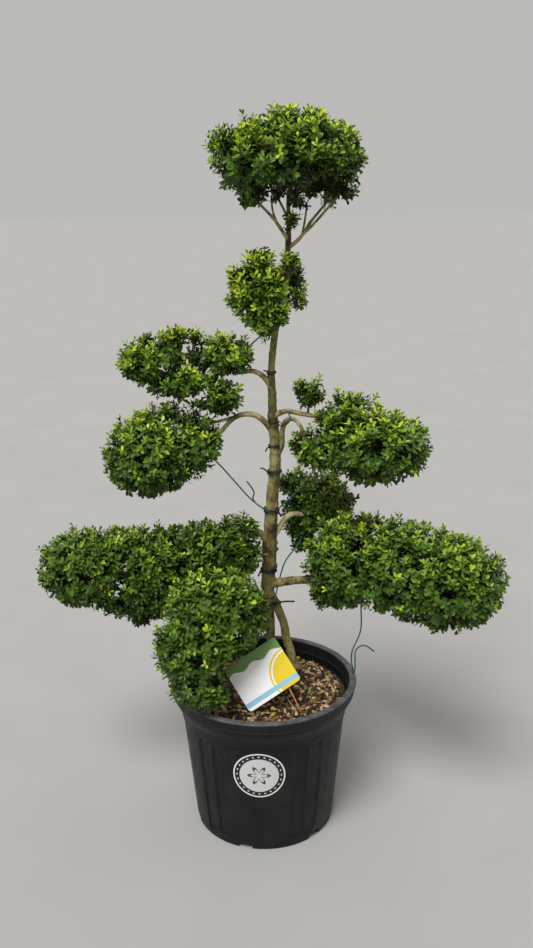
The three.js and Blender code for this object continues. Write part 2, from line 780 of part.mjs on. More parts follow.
// One spray: a twig out of the core and a whorl of leaves, those that fit, as one closed surface.
// Each ring of the twig's corners is turned half a step on from the ring below.
function spraySolid(mass, lobe, direction, random, others) {
  const inner = direction.clone().multiply(vector(...coreHalf(lobe))).add(vector(...lobe.at));
  const outer = direction.clone().multiply(vector(...lobe.half)).add(vector(...lobe.at));
  const heading = outer.clone().sub(inner).normalize();
  const fits = (point) => insideMass(mass, point, EDGE_SLACK)
    && !others.some((other) => insideMass(other, point, NEIGHBOUR_CLEARANCE))
    && clearOfLimbs(point, LIMB_CLEARANCE)
    && clearOfCard(point, CARD_CLEARANCE);
  if (!fits(outer) || !fits(inner)) return null;
  const level = Math.abs(heading.z) > 0.9 ? vector(1, 0, 0) : vector(0, 0, 1);
  const east = level.cross(heading).normalize();
  const north = heading.clone().cross(east);
  const firstTurn = random() * 2 * Math.PI;
  const halfStep = Math.PI / TWIG_SIDES;
  const away = (halfSteps) => east.clone()
    .multiplyScalar(Math.cos(firstTurn + halfSteps * halfStep))
    .addScaledVector(north, Math.sin(firstTurn + halfSteps * halfStep));
  const axis = TWIG_RINGS.map((share) => inner.clone().lerp(outer, share));
  const corners = [];
  axis.forEach((centre, ring) => {
    for (let i = 0; i < TWIG_SIDES; i += 1) {
      corners.push(centre.clone().addScaledVector(away(ring + 2 * i), TWIG_RADII[ring]));
    }
  });
  const faces = [[0, 2, 1], [0, 1, 2].map((i) => (axis.length - 1) * TWIG_SIDES + i)];
  let leafCount = 0;
  for (let ring = 0; ring < axis.length - 1; ring += 1) {
    for (let i = 0; i < TWIG_SIDES; i += 1) {
      const next = (i + 1) % TWIG_SIDES;
      const [a, b] = [ring * TWIG_SIDES + i, ring * TWIG_SIDES + next];
      const [c, d] = [a + TWIG_SIDES, b + TWIG_SIDES];
      faces.push([b, d, c]);
      const leaf = ring === 0 ? null : fittingLeaf(away(ring + 1 + 2 * i));
      if (leaf) {
        faces.push(...leafFaces([a, b, c], corners.length));
        corners.push(...leaf);
        leafCount += 1;
      } else {
        faces.push([a, b, c]);
      }
    }
  }

  function fittingLeaf(radial) {
    const open = radians(THREE.MathUtils.lerp(LEAST_OPENING, MOST_OPENING, random()));
    const way = heading.clone().multiplyScalar(Math.cos(open)).addScaledVector(radial, Math.sin(open));
    const root = axis[1].clone().lerp(axis[2], LEAF_ROOT_SHARE);
    return LEAF_SCALES.map((scale) => leafCorners(root, way, heading, scale))
      .find((leaf) => leaf.every(fits));
  }

  if (leafCount === 0) return null;
  const geometry = new THREE.BufferGeometry().setFromPoints(corners);
  geometry.setIndex(faces.flat());
  return solidFrom(geometry);
}

// Core, links and sprays are cut clear of the limbs before the mass's own stems join them.
function massSolid(mass, others) {
  const random = seededRandom(mass.seed);
  let solid = mass.lobes
    .map((lobe) => lobeSolid(lobe.at, coreHalf(lobe), random))
    .reduce((joined, lobe) => joined.add(lobe));
  for (const link of linkSolids(mass)) solid = solid.add(link);
  for (const lobe of mass.lobes) {
    const count = Math.round(lobeArea(lobe.half) / SPRAY_AREA);
    for (const direction of evenDirections(count, random)) {
      const edge = direction.clone().multiply(vector(...lobe.half)).add(vector(...lobe.at));
      const buried = mass.lobes.some((other) => other !== lobe && lobeDistance(other, edge) < BURIED_BELOW);
      const spray = buried ? null : spraySolid(mass, lobe, direction, random, others);
      if (spray) solid = solid.add(spray);
    }
  }
  for (const limb of LIMBS) {
    solid = solid.subtract(solidFrom(limbGeometry(limb.points, limb.sides, LIMB_CLEARANCE)));
  }
  for (const limbName of mass.stems) solid = solid.add(stemSolid(mass, limbName));
  return mainBody(solid);
}

function makeMasses() {
  for (const mass of MASSES) {
    const others = MASSES.filter((other) => other !== mass);
    addMesh(mass.name, geometryFrom(massSolid(mass, others)), FOLIAGE);
  }
}

makePot();
makePottingMix();
makeLabel();
makeTag();
makeLimbs();
makeMasses();

const plant = new THREE.Group();
plant.add(...meshes);

export default plant;
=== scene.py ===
"""Looks of a cloud-pruned small-leaved holly in a round nursery pot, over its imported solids.

Metres, +Z up. The origin is the centre of the pot's flat underside, and -Y is the side with the
round label. Limbs and clouds follow the rule of the solids' source, written again here, and are
carried on to finer twigs and small leaves within the same reach.
"""
import math

import bpy
import numpy as np
from mathutils import Matrix, Vector, noise


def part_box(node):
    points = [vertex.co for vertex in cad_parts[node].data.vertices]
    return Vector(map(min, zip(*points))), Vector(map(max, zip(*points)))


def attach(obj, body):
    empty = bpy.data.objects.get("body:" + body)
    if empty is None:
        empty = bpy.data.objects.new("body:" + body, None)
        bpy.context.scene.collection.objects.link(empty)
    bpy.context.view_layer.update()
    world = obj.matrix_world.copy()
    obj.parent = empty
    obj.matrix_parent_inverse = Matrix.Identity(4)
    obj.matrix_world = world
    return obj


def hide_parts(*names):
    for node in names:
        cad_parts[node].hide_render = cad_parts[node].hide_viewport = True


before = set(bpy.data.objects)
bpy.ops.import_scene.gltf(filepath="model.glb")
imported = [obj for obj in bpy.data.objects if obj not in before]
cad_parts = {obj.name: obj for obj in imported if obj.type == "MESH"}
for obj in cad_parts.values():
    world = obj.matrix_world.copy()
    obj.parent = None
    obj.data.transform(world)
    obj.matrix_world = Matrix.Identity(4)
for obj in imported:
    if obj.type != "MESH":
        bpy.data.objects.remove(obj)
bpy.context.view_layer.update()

MM = 0.001
TINY = 1e-6
GOLDEN_ANGLE = math.pi * (3 - math.sqrt(5))

# Camera: the picture's long side and focal length in pixels, where it stands, its angles, its sight.
IMAGE_LONG_SIDE = 948
FOCAL_PIXELS = 958.6
SENSOR_WIDTH = 36.0
CAMERA_PLACE = (0.0131, -2.1138, 1.5085)
CAMERA_PITCH = 16.427
CAMERA_ROLL = -0.634
CAMERA_SIGHT = 200.0

# Light: a soft sky and a wide sun.
FLOOR_HALF = 60.0
FLOOR_DROP = 0.0004
SKY_COLOUR = (1.0, 0.99, 0.97, 1)
SKY_STRENGTH = 0.50
SUN_STRENGTH = 2.5
SUN_SPREAD = 26.0
SUN_FROM = (-0.8, -1.75, 2.9)

# Pot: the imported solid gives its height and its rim's radius. SHOULDER has (radius, depth under the
# rim) pairs, and LIP_EDGE steps of (radius, height) from the lip's lower edge.
POT_LOW, POT_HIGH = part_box("nursery_pot")
POT_HEIGHT = POT_HIGH.z
RIM_RADIUS = (POT_HIGH.x - POT_LOW.x) / 2
RIM_INNER_RADIUS = 0.210
RIM_ROUNDING = 0.005
RIM_INNER_ROUNDING = 0.004
LIP_BOTTOM = POT_HEIGHT - 0.029
LIP_BOTTOM_RADIUS = 0.222
LIP_EDGE = [(-0.0018, 0.0), (0.0, 0.0014), (0.0004, 0.004), (0.0002, 0.008)]
THROAT_RADIUS = 0.206
SHOULDER_BOTTOM = POT_HEIGHT - 0.082
SHOULDER = [
    (0.2015, 0.080), (0.2024, 0.071), (0.2045, 0.061), (0.2085, 0.053), (0.2132, 0.045),
    (0.2160, 0.037), (0.2172, 0.030),
]
BODY_TOP_RADIUS = 0.1985
BASE_RADIUS = 0.1705
BASE_ROUNDING = 0.004
POT_WALL = 0.006
POT_FLOOR = 0.005
UNDERSIDE_RINGS = [0.0, 0.06, 0.12]
POT_SEGMENTS = 360
WALL_ROWS = 72
PANEL_COUNT = 5
FRONT_PANEL_ANGLE = -3.5
FLUTE_SPACING = 13.0
FLUTE_WIDTH = 0.036
FLUTE_DEPTH = 0.0042
FLUTE_EDGE = 0.0024
FLUTE_BOTTOM = 0.034
FLUTE_TOP = 0.264
NOTCH_COUNT = 6
FIRST_NOTCH_ANGLE = -16.0
NOTCH_WIDTH = 0.044
NOTCH_HEIGHT = 0.013
NOTCH_REACH = 0.024
POT_CRISP_ANGLE = 40.0

# Potting mix and the bark chips that lie on it. A chip's thickness and bend are shares of its length.
MIX_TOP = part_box("potting_mix")[1].z
MIX_EDGE_TOP = 0.329
MIX_FLAT_RADIUS = 0.152
MIX_EDGE_RADIUS = 0.2025
MIX_RELIEF = 0.003
MIX_RELIEF_SCALE = 38.0
MIX_FLOOR_INSET = 0.008
MIX_GAP = 0.001
MIX_FIRST_RING = 0.006
MIX_RINGS = 44
MIX_SEGMENTS = 160
CHIP_LENGTH = 0.026
CHIP_SPACING = 0.0092
CHIP_MARGIN = 0.014
CHIP_BED = 0.004
CHIP_LIFT = 0.0016
CHIP_THICKNESS = 0.09
CHIP_BEND = 0.35
CHIP_SLIMNESS = 5.6
CHIP_TOP_SHARE = 0.88
CHIP_REACH = (0.66, 1.20)
CHIP_UNEVENNESS = 0.15
CHIP_DENSITY = 5200.0
CHIP_FIRST_RING = 0.004
CHIP_RINGS = 30
CHIP_SEGMENTS = 90
FALLEN_LEAVES = {"fallen_yellow": ((0.62, 0.46, 0.07), 28), "fallen_green": ((0.16, 0.26, 0.05), 18)}
FALLEN_REACH = 0.195
FALLEN_LIFT = 0.0075
FALLEN_TILT = 0.35
FALLEN_SIZES = (0.7, 1.0)

# Round label and plant tag.
LABEL_RADIUS = 0.063
LABEL_THICKNESS = 0.0006
LABEL_STANDOFF = 0.0009
LABEL_HEIGHT = 0.217
LABEL_RINGS = 26
LABEL_SEGMENTS = 72
CARD_WIDTH = 0.141
CARD_HEIGHT = 0.116
CARD_THICKNESS = 0.0012
CARD_CORNER = 0.008
CARD_BOW = 0.0022
CARD_BOW_LOW = 0.0008
CARD_CENTRE = (-0.002, -0.099, 0.427)
CARD_LEAN_BACK = 28.0
CARD_TURN = 32.0
CARD_CLEAR_AHEAD = 0.150
CARD_CLEAR_BEHIND = 0.006
CARD_CLEARANCE = 0.004
CARD_COLUMNS = 36
CARD_ROWS = 30
STICK_FOOT = (0.088, -0.133, 0.3455)
STICK_TOP = (0.052, -0.101, 0.409)
STICK_RADIUS = 0.002
STICK_BOW = 0.0006
STICK_ROWS = 12
SHEET_CRISP_ANGLE = 50.0

# Limbs, foot first, each point [x, y, z, radius] in millimetres, as in the solids' source.
LIMBS = {
    "trunk": [
        (33, 111, 338, 22), (27, 113, 362, 12.5), (20, 115, 409, 11), (16, 108, 490, 12),
        (14, 101, 548, 16), (17, 95, 636, 16.5), (26, 80, 796, 14.5), (34, 65, 900, 13),
        (31, 56, 985, 11), (27, 45, 1116, 7.8), (36, 35, 1206, 7), (58, 30, 1299, 6.5),
        (66, 22, 1411, 6), (66, 20, 1498, 3.5),
    ],
    "second_stem": [
        (80, 97, 338, 20), (74, 99, 362, 11), (61, 107, 412, 10), (50, 107, 468, 10),
        (31, 104, 520, 10), (15, 101, 556, 9),
    ],
    "bough_upper_left": [
        (28, 46, 1075, 7), (8, 48, 1104, 6.2), (-15, 48, 1116, 5.5), (-45, 47, 1114, 5),
    ],
    "bough_middle_left": [
        (31, 58, 968, 8), (11, 50, 996, 7), (-12, 45, 1014, 6.2), (-39, 40, 1017, 6),
        (-60, 35, 1010, 5.6), (-83, 30, 988, 5), (-109, 25, 959, 4.4),
    ],
    "bough_middle_left_fork": [(-48, 38, 1015, 4.5), (-74, 40, 1007, 3.8), (-104, 42, 999, 3.2)],
    "bough_middle_right": [
        (30, 52, 1010, 7), (60, 40, 1024, 6), (91, 30, 1020, 5.2), (126, 22, 1015, 4.6),
    ],
    "bough_middle_right_lower": [
        (33, 64, 905, 6.5), (49, 55, 935, 6.2), (51, 44, 975, 5.8), (58, 20, 1005, 5.4),
        (75, 10, 1012, 5), (90, 8, 998, 4.4), (98, 10, 982, 4),
    ],
    "bough_back": [
        (20, 90, 690, 9), (47, 100, 725, 7.4), (62, 105, 745, 6.6), (80, 112, 750, 6),
        (100, 124, 744, 5.4),
    ],
    "bough_lower_right": [(15, 99, 568, 12), (56, 85, 583, 10.4), (88, 70, 592, 9.6), (117, 60, 598, 9)],
    "bough_lower_left": [(19, 92, 664, 10), (5, 88, 700, 8.4), (-12, 82, 716, 7.6), (-34, 72, 716, 7)],
    "bough_front": [(14, 100, 540, 10), (-8, 60, 560, 9), (-34, 16, 575, 8), (-50, -16, 583, 7.4)],
    "crown_bough_left": [(65, 22, 1408, 4.4), (50, 10, 1431, 3.8), (33, 0, 1454, 3.2), (10, -10, 1478, 2.8)],
    "crown_bough_left_inner": [(42, 5, 1442, 2.8), (33, 15, 1466, 2.4), (30, 20, 1493, 2)],
    "crown_bough_left_back": [(67, 20, 1446, 3.2), (55, 30, 1474, 2.7), (38, 45, 1505, 2.2)],
    "crown_bough_right": [
        (65, 24, 1390, 5), (85, 20, 1405, 4.4), (98, 20, 1419, 3.8), (113, 25, 1442, 3.2),
        (140, 30, 1474, 2.6),
    ],
    "crown_bough_right_outer": [(97, 20, 1418, 3.2), (120, 0, 1441, 2.8), (153, -18, 1478, 2.4)],
    "crown_bough_right_inner": [(96, 20, 1417, 2.8), (102, 40, 1444, 2.3), (107, 52, 1475, 1.9)],
}

LIMB_STEP = 0.003

# Bark relief: depths as shares of a limb's radius, and how finely each runs round and along it.
KNOT_COUNT = 24
KNOT_SIZE = 0.0065
KNOT_HEIGHT = 0.42
FURROW_DEPTH = 0.16
FURROW_ROUND = 2.2
FURROW_ALONG = 28
FINE_FURROW_DEPTH = 0.09
FINE_FURROW_SCALE = 3.1
RING_DEPTH = 0.05
RING_ALONG = 75
LOW_BOUGHS = ["bough_lower_right", "bough_lower_left", "bough_front"]
MIDDLE_BOUGHS = [
    "bough_upper_left", "bough_middle_left", "bough_middle_left_fork", "bough_middle_right",
    "bough_middle_right_lower",
]

# Clipped clouds, in millimetres: overlapping lobes as (centre, half sizes, fullness), and the limbs that
# their own stems grow on from. side means from the limb's side, not from its tip, airy opens the inside and
# the underside, and young shifts the sky that the cloud's shoots see: it deals out more or fewer of the pale
# new leaves, and lighter or darker greens as painted light and shade.
CLOUDS = {
    "crown_dome": {
        "seed": 11,
        "young_and_lit": 0.27,
        "airy": 0.41,
        "stems": ["trunk", "crown_bough_left", "crown_bough_left_inner", "crown_bough_left_back",
                  "crown_bough_right", "crown_bough_right_outer", "crown_bough_right_inner"],
        "lobes": [
            ((66, 20, 1576), (172, 150, 84), 1.0),
            ((80, 20, 1616), (112, 112, 70), 1.0),
            ((-8, 20, 1528), (62, 62, 46), 0.7),
            ((148, 20, 1530), (60, 62, 48), 0.7),
            ((72, 20, 1520), (80, 95, 48), 0.33),
        ],
    },
    "upper_pom": {
        "seed": 12,
        "young_and_lit": 1.15,
        "airy": 0.10,
        "stems": ["trunk"],
        "side": True,
        "lobes": [
            ((-2, -2, 1307), (68, 62, 78), 1.0),
            ((14, 0, 1242), (40, 40, 44), 0.8),
            ((82, 58, 1307), (29, 36, 66), 0.8),
            ((46, 62, 1300), (50, 42, 56), 0.8),
        ],
    },
    "upper_left_cloud": {
        "seed": 43,
        "airy": 0.19,
        "young_and_lit": 0.16,
        "stems": ["bough_upper_left"],
        "lobes": [
            ((-80, 50, 1155), (77, 66, 55), 1.0),
            ((-177, 40, 1104), (82, 62, 52), 1.0),
            ((-259, 30, 1143), (69, 62, 53), 1.0),
            ((-202, 40, 1174), (47, 50, 50), 0.70),
            ((-88, 32, 1065), (54, 48, 54), 0.85),
        ],
    },
    "middle_left_cloud": {
        "seed": 14,
        "young_and_lit": 0.12,
        "stems": ["bough_middle_left", "bough_middle_left_fork"],
        "lobes": [
            ((-153, 30, 950), (65, 66, 64), 0.9),
            ((-255, 20, 933), (115, 105, 104), 1.0),
        ],
    },
    "middle_right_cloud": {
        "seed": 15,
        "young_and_lit": 0.16,
        "stems": ["bough_middle_right", "bough_middle_right_lower"],
        "lobes": [
            ((188, 24, 1006), (70, 58, 54), 0.78),
            ((137, 18, 950), (60, 58, 54), 0.60),
            ((260, 0, 952), (133, 115, 93), 1.0),
        ],
    },
    "middle_right_sprig": {
        "seed": 16,
        "airy": 0.14,
        "stems": ["bough_middle_right"],
        "side": True,
        "lobes": [((116, 30, 1070), (37, 32, 37), 0.66)],
    },
    "back_cloud": {
        "seed": 17,
        "stems": ["bough_back"],
        "lobes": [
            ((141, 175, 768), (95, 84, 86), 1.0),
            ((104, 180, 703), (50, 54, 46), 0.8),
        ],
    },
    "lower_right_cloud": {
        "seed": 38,
        "stems": ["bough_lower_right"],
        "lobes": [
            ((204, 48, 648), (112, 95, 118), 1.0),
            ((327, 0, 655), (128, 110, 122), 1.0),
            ((443, -60, 639), (125, 115, 119), 1.0),
        ],
    },
    "lower_left_cloud": {
        "seed": 59,
        "young_and_lit": -0.34,
        "stems": ["bough_lower_left"],
        "lobes": [
            ((-116, 66, 666), (121, 92, 92), 1.0),
            ((-270, 50, 618), (116, 94, 111), 1.0),
            ((-421, 50, 643), (128, 110, 99), 1.0),
        ],
    },
    "front_cloud": {
        "seed": 20,
        "young_and_lit": -0.22,
        "stems": ["bough_front"],
        "lobes": [
            ((-104, -98, 600), (122, 92, 100), 1.0),
            ((-137, -132, 510), (117, 94, 102), 1.0),
            ((-136, -172, 433), (68, 56, 46), 0.9),
        ],
    },
}

# Sprays that stand a little out of the clipped shape, as (centre, half sizes, fullness). Each grows
# on the nearest limb or lobe.
SPRAYS = {
    "crown_dome": [
        ((-62, 20, 1618), (40, 44, 28), 0.9), ((184, 20, 1512), (30, 38, 28), 0.9),
        ((86, 4, 1494), (44, 44, 24), 0.8), ((-14, 10, 1500), (36, 40, 24), 0.8),
        ((70, 10, 1456), (25, 23, 22), 1.0), ((38, 10, 1504), (30, 34, 22), 0.8),
    ],
    "upper_pom": [
        ((70, -8, 1364), (30, 24, 24), 1.0), ((-44, -4, 1338), (24, 24, 22), 0.9),
        ((4, 0, 1376), (36, 34, 20), 1.0), ((44, -14, 1262), (30, 26, 34), 0.9),
        ((-50, 0, 1284), (28, 30, 22), 0.8),
    ],
    "upper_left_cloud": [
        ((-190, 40, 1206), (28, 28, 20), 0.9), ((-152, 44, 1156), (30, 30, 26), 0.6),
        ((-108, 36, 1102), (30, 30, 28), 0.8), ((-138, 40, 1044), (34, 32, 24), 0.7),
        ((-145, 40, 1199), (26, 26, 20), 0.8), ((-256, 38, 1195), (26, 28, 18), 0.8),
        ((-141, 40, 1148), (30, 30, 24), 0.8),
    ],
    "middle_left_cloud": [
        ((-206, 30, 1030), (40, 40, 26), 0.8), ((-160, 34, 1010), (50, 42, 28), 0.8),
        ((-112, 28, 984), (24, 26, 22), 0.7),
    ],
    "middle_right_cloud": [
        ((202, 24, 1051), (58, 36, 24), 0.9), ((92, 16, 955), (28, 28, 30), 0.8),
    ],
    "middle_right_sprig": [((138, 30, 1058), (28, 26, 26), 0.7), ((94, 26, 1086), (24, 22, 20), 0.7)],
    "back_cloud": [((80, 165, 816), (44, 38, 36), 0.9), ((98, 168, 660), (26, 28, 26), 0.7)],
    "lower_right_cloud": [((232, 34, 748), (56, 48, 26), 1.0), ((146, 48, 572), (36, 36, 32), 0.9)],
    "lower_left_cloud": [
        ((-336, 50, 694), (84, 70, 44), 1.0), ((-208, 56, 692), (90, 72, 44), 1.0),
        ((-60, 62, 732), (60, 50, 36), 1.0), ((-345, 40, 548), (60, 50, 28), 0.8),
        ((-292, 30, 524), (30, 28, 26), 0.9), ((-192, 56, 640), (56, 72, 70), 1.0),
    ],
    "front_cloud": [((-30, -60, 560), (46, 46, 60), 1.0), ((-128, -114, 556), (84, 74, 54), 1.0)],
}

# Stems and twigs of the clouds. A stem carries on from each limb's tip, a link joins each lobe to the
# nearest, and inside a lobe branches fan out to tufts. Radii run from foot to tip, a depth is a share
# of the way out to the lobe's edge, and an area is the surface that one twig's end stands for.
STEM_STEP = 0.006
STEM_ARCH = 0.004
STEM_TAPER = 0.45
SIDE_STEM_SHARE = 0.6
LINK_STEP = 0.008
LINK_SAG = 0.006
LINK_RADII = (0.0042, 0.0028)
BRANCH_AREA = 0.009
BRANCH_DEPTH = 0.30
BRANCH_RADII = (0.0026, 0.0020)
TUFT_AREA = 0.0026
TUFT_DEPTH = 0.50
TUFT_RADII = (0.0020, 0.0013)
TUFT_WANDER = 0.09
TWIG_BEND = 0.003

# Surface of a cloud: how softly its lobes blend, between which shares of a lobe's half sizes the
# surface is looked for, and how far a lobe's own part goes. A neck is where a lobe's inner layers run
# on under the hollow between it and the next.
LOBE_BLEND = 6.0
REACH_SEARCH = (0.7, 1.7)
REACH_ROUNDS = 12
OWN_REACH = 1.5
OWN_MARGIN = 0.08
NECK_AREA = 1.35
NECK_DEPTH = 0.25

# Layers of leafy shoots from the outside in: the share of the way out, the surface that one shoot
# covers, and the noise below which the layer has a gap. Gaps grow in lobes that aren't full, on the
# underside, and in airy clouds, there most of all inside and below. Dents press the layers in.
SHOOT_LAYERS = [(1.00, 0.00050, -0.42), (0.82, 0.00075, -0.62), (0.60, 0.00170, -0.62)]
CLUMP_SIZE = 0.040
FULLNESS_GAP = 0.85
UNDERSIDE = -0.45
UNDERSIDE_GAP = 0.10
AIRY_FROM = -0.1
AIRY_ABOVE = 0.25
DENT_DEPTH = 0.16
DENT_SIZE = 0.6
DEPTH_JITTER = (-0.05, 0.01)

# Shoots head outwards and up, each a little its own way. They are smaller in small lobes, and a few
# are long. Slack is how far they may stand past their cloud's edge.
SHOOT_VARIANTS = 10
SHOOT_LENGTH = 0.037
SHOOT_RADII = (0.0013, 0.0011, 0.0005)
SHOOT_TWIG = 0.94
SHOOT_SCATTER = 0.05
SHOOT_OUT = 0.75
SHOOT_RISE = 0.42
SHOOT_WANDER = 0.25
LEAST_OUT = 0.55
SMALL_LOBE = 0.050
LEAST_SCALE = 0.78
SIZE_RANGE = (0.85, 1.1)
LONG_SHARE = 0.07
LONG_EXTRA = (0.008, 0.018)
EDGE_SLACK = 0.007
LONG_SLACK = 0.018
NEIGHBOUR_CLEARANCE = 0.003
LIMB_CLEARANCE = 0.004

# Leaves on a shoot, from its bare foot up. They open wide, in degrees, at the foot and close towards
# the tip, and the last one reaches past it.
LEAVES_PER_SHOOT = 12
LEAF_LENGTH = 0.0190
LEAF_WIDTH = 0.0092
LEAFLESS_FOOT = 0.12
LEAFY_PART = 0.84
LEAF_OPEN_AT_FOOT = 88
LEAF_CLOSING = 48
LEAF_OPEN_SPREAD = 14
LEAF_TURN_SPREAD = 0.35
LEAF_SLACK = 0.003
TIP_LEAF_REACH = 0.009

# Berries hang under the outer shoots.
BERRY_RADIUS = 0.0033
BERRY_SIDES = 8
BERRY_RINGS = 5
BERRY_UP_SHOOT = 0.022
BERRY_DROP = 0.005
BERRIES_PER_CLOUD = 16

# Most triangles in one piece of leaves, and most points compared with the limbs at a time.
PIECE_TRIANGLES = 195_000
BLOCK_ROWS = 4000

# Kinds of leaf, from the newest tips to those deep inside. The kinds are also painted light and shade: shoots
# that face the sky get lighter greens, and those that face down or lie in the inner layers get darker ones,
# down to the painted shade kind. For each part of a shoot, the first row (layer, least sky seen, kind) that
# fits gives the kind, and shade is what remains. Then come the spread in the sky that a shoot sees and the
# shares of single fresh tips and of yellow feet.
KINDS_BY_SKY = {
    "tip": [(0, 1.0, "fresh"), (0, 0.32, "bright"), (0, -0.7, "green"), (1, 0.3, "green"),
            (0, -math.inf, "deep"), (1, -math.inf, "deep")],
    "middle": [(0, 0.95, "bright"), (0, -0.1, "green"), (0, -math.inf, "deep"), (1, 0.2, "deep")],
    "foot": [(0, 0.7, "green"), (0, -math.inf, "deep")],
}
SKY_SPREAD = 0.36
FRESH_SHARE = 0.022
YELLOW_SHARE = 0.004
TIP_LEAVES = 3
MIDDLE_LEAVES = 5
# Greens of the kinds: the steps from bright down to shade are partly the leaves' own greens and partly
# painted light and shade.
LEAF_COLOURS = {
    "fresh": (0.460, 0.585, 0.030),
    "bright": (0.215, 0.350, 0.022),
    "green": (0.087, 0.172, 0.013),
    "deep": (0.043, 0.094, 0.009),
    "shade": (0.014, 0.034, 0.004),
    "yellow": (0.620, 0.440, 0.020),
}

# Dark ties round the trunk: how high, how wide, and where their loose end goes. The knot is this
# many degrees round from the front. The radii of laps, knot and end are shares of the tie's width.
TIE_KNOT_SIDE = 55.0
TIE_SPREAD = 1.12
TIE_GAP = 0.0008
TIE_TILT = 0.14
TIE_LAP_ROWS = 40
TIE_LAP_RADIUS = 0.30
TIE_KNOT_RADIUS = 0.40
TIE_END_RADIUS = 0.29
TIES = [
    (1.430, 0.0035, (-0.006, -0.002, 0.004)), (1.114, 0.0060, (-0.010, -0.003, 0.006)),
    (0.996, 0.0030, (0.006, -0.002, -0.004)), (0.938, 0.0060, (-0.010, -0.004, -0.012)),
    (0.873, 0.0065, (-0.018, -0.004, 0.012)), (0.770, 0.0080, (0.010, -0.004, -0.012)),
    (0.612, 0.0075, (-0.008, -0.004, -0.014)), (0.521, 0.0080, (0.048, -0.014, 0.010)),
]

# Thin green training wires, each from its tie on the trunk or bough out to a cloud or the rim.
WIRE_RADIUS = 0.0018
WIRES = {
    "wire_middle_left": [(0.018, 0.064, 0.770), (-0.022, 0.060, 0.803), (-0.060, 0.046, 0.852),
                         (-0.101, 0.032, 0.905), (-0.140, 0.030, 0.940)],
    "wire_middle_left_curl": [(-0.014, 0.062, 0.796), (-0.020, 0.062, 0.806), (-0.017, 0.060, 0.822),
                              (-0.025, 0.060, 0.838), (-0.034, 0.060, 0.850)],
    "wire_middle_right": [(0.036, 0.072, 0.772), (0.087, 0.050, 0.830), (0.128, 0.030, 0.888),
                          (0.150, 0.020, 0.930)],
    "wire_back": [(0.030, 0.080, 0.535), (0.040, 0.095, 0.575), (0.058, 0.108, 0.628),
                  (0.090, 0.130, 0.664), (0.120, 0.160, 0.720)],
    "wire_lower_right": [(0.236, 0.006, 0.610), (0.2366, 0.006, 0.558), (0.2371, 0.006, 0.487),
                         (0.2286, 0.006, 0.460), (0.2180, 0.006, 0.434), (0.2155, 0.006, 0.404),
                         (0.2200, 0.006, 0.382), (0.2212, 0.006, 0.3735), (0.2180, 0.007, 0.3716)],
    "wire_lower_right_tail": [(0.2180, 0.004, 0.3716), (0.2235, 0.003, 0.378), (0.2246, 0.004, 0.404),
                              (0.2255, 0.006, 0.430), (0.2361, 0.005, 0.4443), (0.2507, 0.004, 0.4454),
                              (0.2705, 0.004, 0.4304)],
    "wire_upper_pom": [(0.046, 0.026, 1.221), (0.004, 0.045, 1.196), (-0.032, 0.045, 1.165)],
    "wire_middle_right_lower": [(0.043, 0.050, 0.989), (0.052, 0.034, 0.990), (0.062, 0.012, 1.001),
                                (0.068, 0.006, 1.012), (0.066, 0.014, 1.022), (0.060, 0.034, 1.026)],
}


# Meshes from arrays
def mesh_object(name, points, faces, material, smooth=True):
    """A mesh object from rows of points and rows of corner numbers, all of one length."""
    faces = np.asarray(faces, np.int32)
    corners = faces.shape[1]
    mesh = bpy.data.meshes.new(name)
    mesh.vertices.add(len(points))
    mesh.vertices.foreach_set("co", np.asarray(points, np.float32).ravel())
    mesh.loops.add(faces.size)
    mesh.loops.foreach_set("vertex_index", faces.ravel())
    mesh.polygons.add(len(faces))
    mesh.polygons.foreach_set("loop_start", np.arange(0, faces.size, corners, dtype=np.int32))
    mesh.polygons.foreach_set("use_smooth", np.full(len(faces), smooth))
    mesh.update(calc_edges=True)
    mesh.materials.append(material)
    made = bpy.data.objects.new(name, mesh)
    bpy.context.scene.collection.objects.link(made)
    return made


def joined(parts):
    """One (points, faces) pair from many."""
    points, faces, offset = [], [], 0
    for part_points, part_faces in parts:
        points.append(np.asarray(part_points, float).reshape(-1, 3))
        faces.append(np.asarray(part_faces, np.int64) + offset)
        offset += len(points[-1])
    return np.vstack(points), np.vstack(faces)


def dress(piece, slot, *nodes):
    """Puts a finished piece on the plant's one body and hides these solids. The slot is not used."""
    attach(piece, "root")
    if nodes:
        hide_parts(*nodes)


def apply_modifiers(made):
    """Turns the object's modifiers into plain mesh."""
    shown = made.evaluated_get(bpy.context.evaluated_depsgraph_get())
    mesh = bpy.data.meshes.new_from_object(shown)
    made.modifiers.clear()
    made.data = mesh


def outwards(degrees):
    """A direction in plan, counted in degrees from the front, -Y, towards +X."""
    angle = math.radians(degrees)
    return np.array((math.sin(angle), -math.cos(angle), 0.0))


def unit(rows):
    """Rows scaled to length one."""
    rows = np.asarray(rows, float)
    return rows / np.maximum(np.linalg.norm(rows, axis=-1, keepdims=True), 1e-12)


def spline(points, step):
    """Rows about a step apart on a centripetal curve through the points; a fourth column follows."""
    points = np.asarray(points, float)
    ends = np.vstack([2 * points[0] - points[1], points, 2 * points[-1] - points[-2]])
    rows = []
    for a, b, c, d in zip(ends, ends[1:], ends[2:], ends[3:]):
        gaps = [math.sqrt(np.linalg.norm((q - p)[:3])) for p, q in ((a, b), (b, c), (c, d))]
        before, here, after = gaps
        enter = ((b - a) / before - (c - a) / (before + here) + (c - b) / here) * here
        leave = ((c - b) / here - (d - b) / (here + after) + (d - c) / after) * here
        count = max(1, round(np.linalg.norm((c - b)[:3]) / step))
        t = (np.arange(count) / count)[:, None]
        second, third = 3 * (c - b) - 2 * enter - leave, 2 * (b - c) + enter + leave
        curve = b + enter * t + second * t**2 + third * t**3
        curve[:, 3:] = (b + (c - b) * t)[:, 3:]
        rows.append(curve)
    return np.vstack([*rows, points[-1:]])


